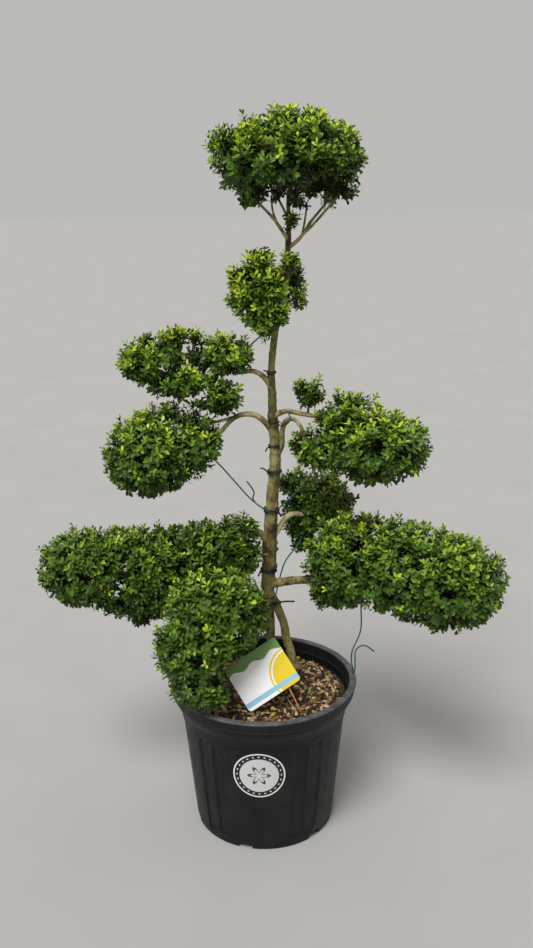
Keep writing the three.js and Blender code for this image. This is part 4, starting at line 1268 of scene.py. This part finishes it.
def make_card():
    """The plant tag: a round-cornered card, slightly bowed."""
    columns, rows = CARD_COLUMNS, CARD_ROWS
    place = card_place()

    def cornered(x, y):
        """Pulls a place in the square outline's corners onto their rounding."""
        inner_x, inner_y = CARD_WIDTH / 2 - CARD_CORNER, CARD_HEIGHT / 2 - CARD_CORNER
        over_x, over_y = abs(x) - inner_x, abs(y) - inner_y
        if over_x <= 0 or over_y <= 0:
            return x, y
        shrink = max(over_x, over_y) / math.hypot(over_x, over_y)
        return (math.copysign(inner_x + over_x * shrink, x), math.copysign(inner_y + over_y * shrink, y))

    flat = [cornered((i / columns - 0.5) * CARD_WIDTH, (j / rows - 0.5) * CARD_HEIGHT)
            for j in range(rows + 1) for i in range(columns + 1)]
    bow = [CARD_BOW * (1 - (2 * x / CARD_WIDTH) ** 2) - CARD_BOW_LOW for x, _ in flat]
    front = [place @ Vector((x, y, CARD_THICKNESS + lift)) for (x, y), lift in zip(flat, bow)]
    back = [place @ Vector((x, y, lift)) for (x, y), lift in zip(flat, bow)]
    faces, stride = [], columns + 1
    for j in range(rows):
        for i in range(columns):
            a = j * stride + i
            faces += [(a, a + 1, a + 1 + stride), (a, a + 1 + stride, a + stride)]
    edge = list(range(columns)) + [columns + j * stride for j in range(rows)]
    edge += [rows * stride + columns - i for i in range(columns)]
    edge += [(rows - j) * stride for j in range(rows)]
    card = sheet_object("plant_tag_card", front, back, faces, edge, card_print())
    paint_coordinates(card, [(x / CARD_WIDTH + 0.5, y / CARD_HEIGHT + 0.5) for x, y in flat + flat])
    shade_by_angle(card, SHEET_CRISP_ANGLE)
    dress(card, "card", "plant_tag")


def make_stick():
    """The tag's stick, slightly bowed, thinner at its foot."""
    foot, top = np.array(STICK_FOOT), np.array(STICK_TOP)
    path = foot + (top - foot) * np.linspace(0, 1, STICK_ROWS)[:, None]
    path[:, 0] += STICK_BOW * np.sin(np.linspace(0, math.pi, STICK_ROWS))
    points, faces = tube(path, np.linspace(STICK_RADIUS * 0.8, STICK_RADIUS, STICK_ROWS), 12)
    stick = mesh_object("tag_stick_wood", points, faces, stick_wood())
    dress(stick, "stick", "tag_stick")


# Limbs
def limb_paths():
    """Each limb's curve as rows of x, y, z and radius, about 3 mm apart."""
    return {name: spline(np.array(points) * MM, LIMB_STEP) for name, points in LIMBS.items()}


def bark_relief(seed, rough):
    """Furrows, rings and knots to add to a limb's radius."""
    random = np.random.default_rng(seed)
    knots = [(random.uniform(0, math.tau), random.uniform(0.03, 1.1), random.uniform(0.5, 1.0))
             for _ in range(KNOT_COUNT)]

    def relief(turn, along, radius):
        """What the bark adds to the radius."""
        swirl = Vector((math.cos(turn) * FURROW_ROUND, math.sin(turn) * FURROW_ROUND,
                        along * FURROW_ALONG + seed))
        furrow = noise.noise(swirl) * FURROW_DEPTH
        furrow += noise.noise(swirl * FINE_FURROW_SCALE) * FINE_FURROW_DEPTH
        ring = RING_DEPTH * max(0.0, noise.noise(Vector((seed, 0.3, along * RING_ALONG)))) ** 0.5
        lump = 0.0
        for knot_turn, knot_along, size in knots:
            apart = radius * ((turn - knot_turn + math.pi) % math.tau - math.pi)
            away = (apart**2 + (along - knot_along) ** 2) / (KNOT_SIZE * size) ** 2
            lump += KNOT_HEIGHT * size * math.exp(-away)
        return radius * (furrow + ring + lump) * rough

    return relief


def make_limbs(paths):
    """Bark over every limb: rough on the trunk and low boughs, smoother and paler on the others."""
    trunk_finish = bark()
    khaki = pale_bark("khaki_bark", (0.060, 0.042, 0.014), (0.230, 0.180, 0.068), (0.500, 0.425, 0.205), 0.6)
    cream = pale_bark("cream_bark", (0.190, 0.150, 0.070), (0.520, 0.445, 0.240), (0.780, 0.700, 0.450), 0.3)
    # Each piece has its limbs, its sides, how rough its bark is, and its finish.
    groups = {
        "trunk_bark": (["trunk", "second_stem"], 24, 1.35, trunk_finish),
        "low_bough_bark": (LOW_BOUGHS, 18, 0.9, trunk_finish),
        "bough_bark": (MIDDLE_BOUGHS, 14, 0.8, khaki),
        "back_bough_bark": (["bough_back"], 14, 0.8, cream),
        "crown_bough_bark": ([name for name in LIMBS if name.startswith("crown")], 9, 0.6, khaki),
    }
    for piece_name, (names, sides, rough, finish) in groups.items():
        parts = []
        for number, name in enumerate(names):
            rows = paths[name]
            parts.append(tube(rows[:, :3], rows[:, 3], sides, bark_relief(number * 7 + 3, rough)))
        dress(mesh_object(piece_name, *joined(parts), finish), "bark", *names)


# Foliage
def cloud_lobes(name):
    """Centres and half sizes of a cloud's lobes, in metres, and how full each one is."""
    lobes = CLOUDS[name]["lobes"] + SPRAYS.get(name, [])
    centres = np.array([lobe[0] for lobe in lobes]) * MM
    halves = np.array([lobe[1] for lobe in lobes]) * MM
    return centres, halves, np.array([lobe[2] for lobe in lobes])


def lobe_distances(points, centres, halves, extra=0.0):
    """How far each point is out from each lobe's centre: 1 is on its edge, moved out by extra."""
    extra = np.reshape(extra, (-1, 1, 1))
    return np.linalg.norm((points[:, None] - centres[None]) / (halves[None] + extra), axis=2)


def cloud_field(points, centres, halves, extra=0.0):
    """Below 1 inside the cloud. Its lobes blend softly where they meet."""
    apart = lobe_distances(points, centres, halves, extra)
    return -np.log(np.exp(-LOBE_BLEND * apart).sum(axis=1)) / LOBE_BLEND


def surface_reach(lobe, ways, centres, halves):
    """How far out, in the lobe's half sizes, the cloud's surface lies each way, and if it is its own."""
    near, far = (np.full(len(ways), start) for start in REACH_SEARCH)
    for _ in range(REACH_ROUNDS):
        middle = (near + far) / 2
        inside = cloud_field(centres[lobe] + ways * halves[lobe] * middle[:, None], centres, halves) < 1
        near, far = np.where(inside, middle, near), np.where(inside, far, middle)
    apart = lobe_distances(centres[lobe] + ways * halves[lobe] * near[:, None], centres, halves)
    own = (apart[:, lobe] <= apart.min(axis=1) + OWN_MARGIN) & (near < OWN_REACH)
    return near, own


def in_neck(lobe, ways, share, centres, halves):
    """True where a lobe's inner shell runs on under the hollow between it and its neighbours."""
    return cloud_field(centres[lobe] + ways * halves[lobe] * share, centres, halves) > share - NECK_DEPTH


def clumps(points, size, seed):
    """Smooth noise, about -0.6 to 0.6, at each point, with patches of about this size."""
    return np.array([noise.noise(Vector((x, y, z)) / size + Vector((seed, 0, 0))) for x, y, z in points])


def lobe_area(half):
    """Area of an ellipsoid, to about one part in a hundred."""
    power = 1.6
    a, b, c = half**power
    return 4 * math.pi * ((a * b + b * c + c * a) / 3) ** (1 / power)


def even_directions(count, random):
    """Directions spread evenly over a ball by the golden angle."""
    i = np.arange(count)
    height = 1 - 2 * (i + 0.5) / count
    reach = np.sqrt(1 - height**2)
    turn = random.uniform(0, math.tau) + i * GOLDEN_ANGLE
    return np.stack([reach * np.cos(turn), reach * np.sin(turn), height], 1)


def leaf_shape():
    """(along, across, lift) rows of one leaf of unit length and width, and its triangles."""
    rows = np.array([
        (0.00, 0.00, 0.00), (0.52, 0.00, -0.055), (1.00, 0.00, -0.03),
        (0.24, -0.29, 0.010), (0.60, -0.50, 0.035), (0.87, -0.34, 0.015),
        (0.24, 0.29, 0.010), (0.60, 0.50, 0.035), (0.87, 0.34, 0.015),
    ])
    faces = np.array([(0, 3, 1), (3, 4, 1), (4, 5, 1), (5, 2, 1), (0, 1, 6), (6, 1, 7), (7, 1, 8), (8, 1, 2)])
    return rows, faces


def shoot_shapes(random):
    """Leaf corners of a few leafy shoots along +Z, tip last: variants, leaves, corners, xyz."""
    rows, _ = leaf_shape()
    shapes = np.zeros((SHOOT_VARIANTS, LEAVES_PER_SHOOT, len(rows), 3))
    for variant in range(SHOOT_VARIANTS):
        first = random.uniform(0, math.tau)
        for i in range(LEAVES_PER_SHOOT):
            share = i / (LEAVES_PER_SHOOT - 1)
            turn = first + i * GOLDEN_ANGLE + random.uniform(-LEAF_TURN_SPREAD, LEAF_TURN_SPREAD)
            open_degrees = LEAF_OPEN_AT_FOOT - LEAF_CLOSING * share**1.6
            open_angle = math.radians(open_degrees + random.uniform(-LEAF_OPEN_SPREAD, LEAF_OPEN_SPREAD))
            radial = np.array((math.cos(turn), math.sin(turn), 0.0))
            up = np.array((0, 0, 1.0))
            way = up * math.cos(open_angle) + radial * math.sin(open_angle)
            side = np.array((-math.sin(turn), math.cos(turn), 0.0))
            normal = np.cross(way, side)
            size = random.uniform(*SIZE_RANGE) * (0.85 + 0.55 * share - 0.72 * share**2)
            long, wide = LEAF_LENGTH * size, LEAF_WIDTH * size * random.uniform(0.9, 1.1)
            base = up * SHOOT_LENGTH * (LEAFLESS_FOOT + LEAFY_PART * share)
            shapes[variant, i] = (base + way * rows[:, :1] * long + side * rows[:, 1:2] * wide
                                  + normal * rows[:, 2:] * long)
    return shapes


def shoot_frames(heading, random):
    """Rotation matrices whose third column is the heading, turned about it at random."""
    level = np.where(np.abs(heading[:, 2:]) > 0.9, [[1.0, 0, 0]], [[0, 0, 1.0]])
    east = unit(np.cross(level, heading))
    north = np.cross(heading, east)
    turn = random.uniform(0, math.tau, len(heading))[:, None]
    first = east * np.cos(turn) + north * np.sin(turn)
    return np.stack([first, np.cross(heading, first), heading], axis=2)


def card_distance(points):
    """How far points are outside the tag card and the open space ahead of its face."""
    back = np.array(card_place().inverted())
    local = points @ back[:3, :3].T + back[:3, 3]
    across = np.abs(local[:, 0]) - CARD_WIDTH / 2
    up = np.abs(local[:, 1]) - CARD_HEIGHT / 2
    return np.max([across, up, local[:, 2] - CARD_CLEAR_AHEAD, -local[:, 2] - CARD_CLEAR_BEHIND], axis=0)


def clear_of_limbs(points, rows, clearance):
    """True where a point is further from every row of the limbs' paths than their radius."""
    clear = np.ones(len(points), bool)
    for start in range(0, len(points), BLOCK_ROWS):
        block = points[start:start + BLOCK_ROWS]
        apart = np.linalg.norm(block[:, None] - rows[None, :, :3], axis=2) - rows[None, :, 3]
        clear[start:start + BLOCK_ROWS] = apart.min(axis=1) > clearance
    return clear


def fitting(points, name, limb_rows, slack):
    """True where a point lies in its own cloud's space and clear of everything else."""
    centres, halves, _ = cloud_lobes(name)
    fits = cloud_field(points, centres, halves, slack) < 1
    for other in CLOUDS:
        if other != name:
            other_centres, other_halves, _ = cloud_lobes(other)
            fits &= (lobe_distances(points, other_centres, other_halves, NEIGHBOUR_CLEARANCE) > 1).all(axis=1)
    fits &= card_distance(points) > CARD_CLEARANCE
    fits[fits] = clear_of_limbs(points[fits], limb_rows, LIMB_CLEARANCE)
    return fits


def stem_parts(name, paths):
    """The cloud's own stems from the limbs' tips, and the links from lobe to lobe."""
    cloud = CLOUDS[name]
    centres, _, _ = cloud_lobes(name)
    parts = []
    for limb in cloud["stems"]:
        rows = paths[limb]
        if cloud.get("side"):
            near = rows[np.argmin(np.linalg.norm(rows[:, :3] - centres[0], axis=1))]
            heading, target = unit(centres[0] - near[:3]), centres[0]
            start, radius = near[:3] + heading * near[3], near[3] * SIDE_STEM_SHARE
        else:
            heading = unit(rows[-1, :3] - rows[-3, :3])
            start, radius = rows[-1, :3], rows[-1, 3]
            target = centres[np.argmin(np.linalg.norm(centres - start, axis=1))]
        bend = (start + target) / 2 + (0, 0, STEM_ARCH)
        path = spline([start, start + heading * radius * 3, bend, target], STEM_STEP)
        parts.append(tube(path, np.linspace(radius, radius * STEM_TAPER, len(path)), 8))
    limbs = np.vstack([paths[limb][::4, :3] for limb in cloud["stems"]])
    for i in range(1, len(centres)):
        near = np.vstack([centres[:i], limbs]) if i >= len(cloud["lobes"]) else centres[:i]
        parent = near[np.argmin(np.linalg.norm(near - centres[i], axis=1))]
        bend = (parent + centres[i]) / 2 - (0, 0, LINK_SAG)
        path = spline([parent, bend, centres[i]], LINK_STEP)
        parts.append(tube(path, np.linspace(*LINK_RADII, len(path)), 7))
    return parts


def cloud_shoots(name, limb_rows, random):
    """Branches of one cloud, and rows of its leafy shoots.

    A row has the shoot's tuft, start, heading and normal, three columns each, then its scale, its
    layer, and 1 where it is a long one.
    """
    centres, halves, fullness = cloud_lobes(name)
    airy = CLOUDS[name].get("airy", 0.0)
    branches, found = [], []
    for lobe, (centre, half) in enumerate(zip(centres, halves)):
        area = lobe_area(half)
        size = min(max(half.min() / SMALL_LOBE, LEAST_SCALE), 1.0)
        branch_ways = even_directions(max(5, round(area / BRANCH_AREA)), random)
        branch_tips = centre + branch_ways * half * BRANCH_DEPTH
        tuft_ways = even_directions(max(8, round(area / TUFT_AREA)), random)
        tuft_ways = unit(tuft_ways + random.normal(0, TUFT_WANDER, tuft_ways.shape))
        tufts = centre + tuft_ways * half * TUFT_DEPTH * random.uniform(*SIZE_RANGE, (len(tuft_ways), 1))
        used = np.zeros(len(tufts), bool)
        for layer, (share, spacing, gap_noise) in enumerate(SHOOT_LAYERS):
            densest = NECK_AREA * half.prod() / half.min() * share**2
            ways = even_directions(round(4 * math.pi * densest / spacing), random)
            ways = unit(ways + random.normal(0, SHOOT_SCATTER, ways.shape))
            surface, own = surface_reach(lobe, ways, centres, halves)
            if layer > 0:
                surface = np.where(own, surface, 1.0)
                own |= in_neck(lobe, ways, share, centres, halves)
            area_here = half.prod() * np.linalg.norm(ways / half, axis=1) * (surface * share) ** 2
            own &= random.uniform(size=len(ways)) * densest < area_here
            edges = centre + ways * half * surface[:, None]
            gap_below = gap_noise + (1 - fullness[lobe]) * FULLNESS_GAP
            gap_below = gap_below + np.where(ways[:, 2] < UNDERSIDE, UNDERSIDE_GAP, 0.0)
            opened = (ways[:, 2] < AIRY_FROM) | (layer == 2)
            gap_below = gap_below + airy * np.where(opened, 1.0, AIRY_ABOVE)
            kept = own & (clumps(edges, CLUMP_SIZE, layer * 9.0) > gap_below)
            ways, edges, surface = ways[kept], edges[kept], surface[kept]
            long = (random.uniform(size=len(ways)) < LONG_SHARE) & (layer == 0)
            dents = DENT_DEPTH * np.minimum(0, clumps(edges, CLUMP_SIZE * DENT_SIZE, 4.0))
            reach = share * (1 + dents + random.uniform(*DEPTH_JITTER, len(ways)))
            targets = centre + ways * half * (surface * reach)[:, None]
            normal = unit(ways / half)
            wander = random.normal(0, SHOOT_WANDER, ways.shape)
            heading = unit(SHOOT_OUT * normal + (0, 0, SHOOT_RISE) + wander)
            inward = np.maximum(0, LEAST_OUT - (heading * normal).sum(axis=1, keepdims=True))
            heading = unit(heading + inward * normal)
            targets += heading * np.where(long, random.uniform(*LONG_EXTRA, len(ways)), 0)[:, None]
            scale = size * random.uniform(*SIZE_RANGE, len(ways))
            starts = targets - heading * (SHOOT_LENGTH + TIP_LEAF_REACH) * scale[:, None]
            nearest = np.argmax(ways @ tuft_ways.T, axis=1)
            used[nearest] = True
            found.append(np.column_stack([tufts[nearest], starts, heading, normal, scale,
                                          np.full(len(ways), layer), long]))
        nearest = np.argmax(tuft_ways @ branch_ways.T, axis=1)
        branches.append((np.tile(centre, (len(branch_tips), 1)), branch_tips, *BRANCH_RADII))
        branches.append((branch_tips[nearest[used]], tufts[used], *TUFT_RADII))
    shoots = np.vstack(found)
    tips = shoots[:, 3:6] + shoots[:, 6:9] * SHOOT_LENGTH * shoots[:, 12:13]
    slack = np.where(shoots[:, 14] > 0, LONG_SLACK, EDGE_SLACK)
    return branches, shoots[fitting(tips, name, limb_rows, slack)]


def dealt_kinds(normal, layer, young_and_lit, random):
    """Kinds of leaf at each shoot's tip, middle and foot, by the sky it sees and how deep it is: lighter
    greens face the sky and darker ones lie inside or below, as painted light and shade.
    """
    sky = normal[:, 2] + young_and_lit + random.normal(0, SKY_SPREAD, len(normal))

    def by_sky(part):
        """Each shoot's kind of leaf in one part of it."""
        rules = KINDS_BY_SKY[part]
        fits = [(layer == rule_layer) & (sky > least_sky) for rule_layer, least_sky, _ in rules]
        return np.select(fits, [kind for _, _, kind in rules], "shade")

    tip, middle, foot = by_sky("tip"), by_sky("middle"), by_sky("foot")
    tip = np.where((layer == 0) & (random.uniform(size=len(tip)) < FRESH_SHARE), "fresh", tip)
    foot = np.where(random.uniform(size=len(tip)) < YELLOW_SHARE, "yellow", foot)
    return tip, middle, foot


def make_foliage(paths):
    """Every cloud's twigs and leaves, joined by kind into pieces of a bounded size."""
    shapes = shoot_shapes(np.random.default_rng(2))
    _, leaf_faces = leaf_shape()
    limb_rows = np.vstack([rows[::3] for rows in paths.values()])
    twig_parts, leaf_parts, berry_places = [], {kind: [] for kind in LEAF_COLOURS}, []
    for name, cloud in CLOUDS.items():
        random = np.random.default_rng(cloud["seed"])
        twig_parts += stem_parts(name, paths)
        branches, shoots = cloud_shoots(name, limb_rows, random)
        for starts, ends, wide, thin in branches:
            bends = (starts + ends) / 2 + random.normal(0, TWIG_BEND, starts.shape)
            twig_parts.append(twigs(starts, bends, ends, (wide, (wide + thin) / 2, thin)))
        tuft, start, heading, normal = (shoots[:, i:i + 3] for i in (0, 3, 6, 9))
        scale, layer, long = shoots[:, 12], shoots[:, 13], shoots[:, 14]
        twig_ends = start + heading * SHOOT_LENGTH * SHOOT_TWIG * scale[:, None]
        twig_parts.append(twigs(tuft, start, twig_ends, SHOOT_RADII))
        frames = shoot_frames(heading, random)
        variants = random.integers(0, SHOOT_VARIANTS, len(shoots))
        corners = np.einsum("nij,nlkj->nlki", frames, shapes[variants]) * scale[:, None, None, None]
        corners += start[:, None, None]
        slack = np.repeat(np.where(long > 0, LONG_SLACK, EDGE_SLACK), LEAVES_PER_SHOOT)
        kept = fitting(corners[:, :, 2].reshape(-1, 3), name, limb_rows, slack + LEAF_SLACK)
        kept = kept.reshape(len(shoots), LEAVES_PER_SHOOT)
        tip, middle, foot = dealt_kinds(normal, layer, cloud.get("young_and_lit", 0.0), random)
        from_tip = LEAVES_PER_SHOOT - np.arange(LEAVES_PER_SHOOT)
        kinds = np.where(from_tip <= TIP_LEAVES, tip[:, None],
                         np.where(from_tip <= TIP_LEAVES + MIDDLE_LEAVES, middle[:, None], foot[:, None]))
        for kind in LEAF_COLOURS:
            leaf_parts[kind].append(corners[(kinds == kind) & kept])
        under = shoots[(normal[:, 2] < 0.2) & (layer == 0)]
        chosen = random.choice(len(under), min(BERRIES_PER_CLOUD, len(under)), replace=False)
        berry_places.append(under[chosen, 3:6] + under[chosen, 6:9] * BERRY_UP_SHOOT - (0, 0, BERRY_DROP))
    make_twigs(twig_parts)
    for kind, parts in leaf_parts.items():
        make_leaves(kind, np.vstack(parts), leaf_faces)
    make_berries(np.vstack(berry_places))


def make_twigs(parts):
    """The twigs of every cloud in one piece."""
    dress(mesh_object("cloud_twigs", *joined(parts), twig_bark()), "bark")


def make_leaves(kind, corners, leaf_faces):
    """Leaves of one kind, in pieces of bounded size. The first green one stands for every cloud."""
    finish = leaf_finish(kind)
    per_piece = PIECE_TRIANGLES // len(leaf_faces)
    for number, start in enumerate(range(0, len(corners), per_piece)):
        block = corners[start:start + per_piece]
        offsets = (np.arange(len(block)) * block.shape[1])[:, None, None]
        faces = (leaf_faces[None] + offsets).reshape(-1, 3)
        piece = mesh_object(f"leaves_{kind}_{number + 1}", block.reshape(-1, 3), faces, finish)
        nodes = list(CLOUDS) if kind == "green" and number == 0 else []
        dress(piece, "foliage", *nodes)


def make_berries(places):
    """Small round dark berries under the clouds."""
    turns = [math.pi * i / BERRY_RINGS for i in range(1, BERRY_RINGS)]
    profile = [(0.0, -1.0), *[(math.sin(turn), -math.cos(turn)) for turn in turns], (0.0, 1.0)]
    points, quads, fans = turned(profile, BERRY_SIDES)
    shape, faces = points * BERRY_RADIUS, triangles(quads, fans)
    berries = joined([(shape + place, faces) for place in places])
    dress(mesh_object("berries", *berries, berry_skin()), "foliage")


# Ties, wires and fallen leaves
def make_ties(paths):
    """Dark rubber ties twice round the trunk, each with a small knot and a loose end."""
    trunk = paths["trunk"]
    parts = []
    for number, (height, wide, loose_end) in enumerate(TIES):
        row = trunk[np.argmin(np.abs(trunk[:, 2] - height))]
        middle, radius = row[:3], row[3] * TIE_SPREAD + TIE_GAP
        turns = np.linspace(0, math.tau, TIE_LAP_ROWS + 1)[:-1]
        for lap in (-0.3, 0.3):
            tilt = TIE_TILT * math.sin(number * 2.1 + lap * 4)
            ring = [middle + (radius * math.cos(turn), radius * math.sin(turn),
                              lap * wide + tilt * radius * math.cos(turn)) for turn in turns]
            parts.append(ring_tube(np.array(ring), wide * TIE_LAP_RADIUS, 8))
        side = math.copysign(TIE_KNOT_SIDE, loose_end[0])
        front = middle + outwards(side + 12 * math.sin(number)) * (radius + wide * 0.25)
        knot = [front + (0, -wide * 0.2, wide * 0.6), front + (0, -wide * 0.4, 0),
                front + (0, 0, -wide * 0.6)]
        parts.append(tube(spline(knot, 0.001), wide * TIE_KNOT_RADIUS, 8))
        way = np.array(loose_end)
        end = [front, front + way * 0.5 + (0, 0, 0.002), front + way]
        parts.append(tube(spline(end, 0.002), wide * TIE_END_RADIUS, 7))
    finish = soft_rubber("tie_rubber", (0.008, 0.008, 0.009), (0.022, 0.022, 0.024))
    dress(mesh_object("trunk_ties", *joined(parts), finish), "nursery_pot")


def ring_tube(path, radius, sides):
    """(points, triangles) of a closed ring of tube."""
    count = len(path)
    tangents = unit(np.roll(path, -1, axis=0) - np.roll(path, 1, axis=0))
    up = np.tile((0, 0, 1.0), (count, 1))
    over = unit(up - tangents * (up * tangents).sum(axis=1, keepdims=True))
    across = np.cross(over, tangents)
    points = (path[:, None] + rays_round(across, over, sides) * radius).reshape(-1, 3)
    ring = np.arange(count)[:, None] * sides
    next_ring = (np.arange(count)[:, None] + 1) % count * sides
    here, after = np.arange(sides), (np.arange(sides) + 1) % sides
    a, b, c, d = ring + here, ring + after, next_ring + here, next_ring + after
    faces = np.stack([np.stack([a, d, b], -1), np.stack([a, c, d], -1)], 2).reshape(-1, 3)
    return points, faces


def make_wires():
    """Green training wires, each one a thin sheathed strand."""
    finish = soft_rubber("wire_sheath", (0.010, 0.070, 0.042), (0.030, 0.150, 0.090))
    parts = [tube(spline(points, 0.004), WIRE_RADIUS, 8) for points in WIRES.values()]
    dress(mesh_object("training_wires", *joined(parts), finish), "nursery_pot")


def make_fallen_leaves():
    """A few yellow and green leaves lying on the bark chips."""
    random = np.random.default_rng(9)
    rows, faces = leaf_shape()
    for name, (colour, count) in FALLEN_LEAVES.items():
        parts = []
        for _ in range(count):
            turn, reach = random.uniform(0, math.tau), FALLEN_REACH * math.sqrt(random.uniform())
            x, y = reach * math.cos(turn), reach * math.sin(turn)
            place = Matrix.Translation((x, y, mix_height(x, y) + FALLEN_LIFT))
            place @= Matrix.Rotation(random.uniform(0, math.tau), 4, "Z")
            place @= Matrix.Rotation(random.uniform(-FALLEN_TILT, FALLEN_TILT), 4, "X")
            size = random.uniform(*FALLEN_SIZES)
            scaled = rows * (LEAF_LENGTH * size, LEAF_WIDTH * size, LEAF_LENGTH * size)
            spin = np.array(place)
            parts.append((scaled @ spin[:3, :3].T + spin[:3, 3], faces))
        darker = tuple(part * 0.7 for part in colour)
        finish = mottled(name, 0.5, (120, 2), [(0.3, darker), (0.7, colour)])
        dress(mesh_object(name, *joined(parts), finish), "foliage")


# Studio
def make_camera():
    """The camera, level but for its pitch and its small roll."""
    pitch, roll = math.radians(CAMERA_PITCH), math.radians(CAMERA_ROLL)
    ahead = Vector((0, math.cos(pitch), -math.sin(pitch)))
    right = Vector((1, 0, 0))
    up = right.cross(ahead)
    tilted_right = right * math.cos(roll) + up * math.sin(roll)
    tilted_up = up * math.cos(roll) - right * math.sin(roll)
    data = bpy.data.cameras.new("camera")
    data.sensor_width = SENSOR_WIDTH
    data.lens = SENSOR_WIDTH * FOCAL_PIXELS / IMAGE_LONG_SIDE
    data.clip_end = CAMERA_SIGHT
    camera = bpy.data.objects.new("camera", data)
    turn = Matrix((tilted_right, tilted_up, -ahead)).transposed().to_4x4()
    camera.matrix_world = Matrix.Translation(CAMERA_PLACE) @ turn
    bpy.context.scene.collection.objects.link(camera)
    bpy.context.scene.camera = camera


def make_studio():
    """Pale floor under a soft sky and a wide soft sun from above the front left."""
    half = FLOOR_HALF
    corners = [(-half, -half, 0), (half, -half, 0), (half, half, 0), (-half, half, 0)]
    floor = mesh_object("floor", corners, [(0, 1, 2, 3)], studio_floor())
    floor.location.z = -FLOOR_DROP
    sun = bpy.data.lights.new("soft_sun", "SUN")
    sun.energy = SUN_STRENGTH
    sun.angle = math.radians(SUN_SPREAD)
    light = bpy.data.objects.new("soft_sun", sun)
    light.rotation_euler = (-Vector(SUN_FROM)).to_track_quat("-Z", "Y").to_euler()
    bpy.context.scene.collection.objects.link(light)
    world = bpy.data.worlds.new("soft_sky")
    world.use_nodes = True
    background = world.node_tree.nodes["Background"]
    background.inputs["Color"].default_value = SKY_COLOUR
    background.inputs["Strength"].default_value = SKY_STRENGTH
    bpy.context.scene.world = world
    bpy.context.scene.view_settings.view_transform = "Standard"


make_camera()
make_studio()
make_pot()
make_mix()
make_chips()
make_label()
make_card()
make_stick()
limbs = limb_paths()
make_limbs(limbs)
make_foliage(limbs)
make_ties(limbs)
make_wires()
make_fallen_leaves()
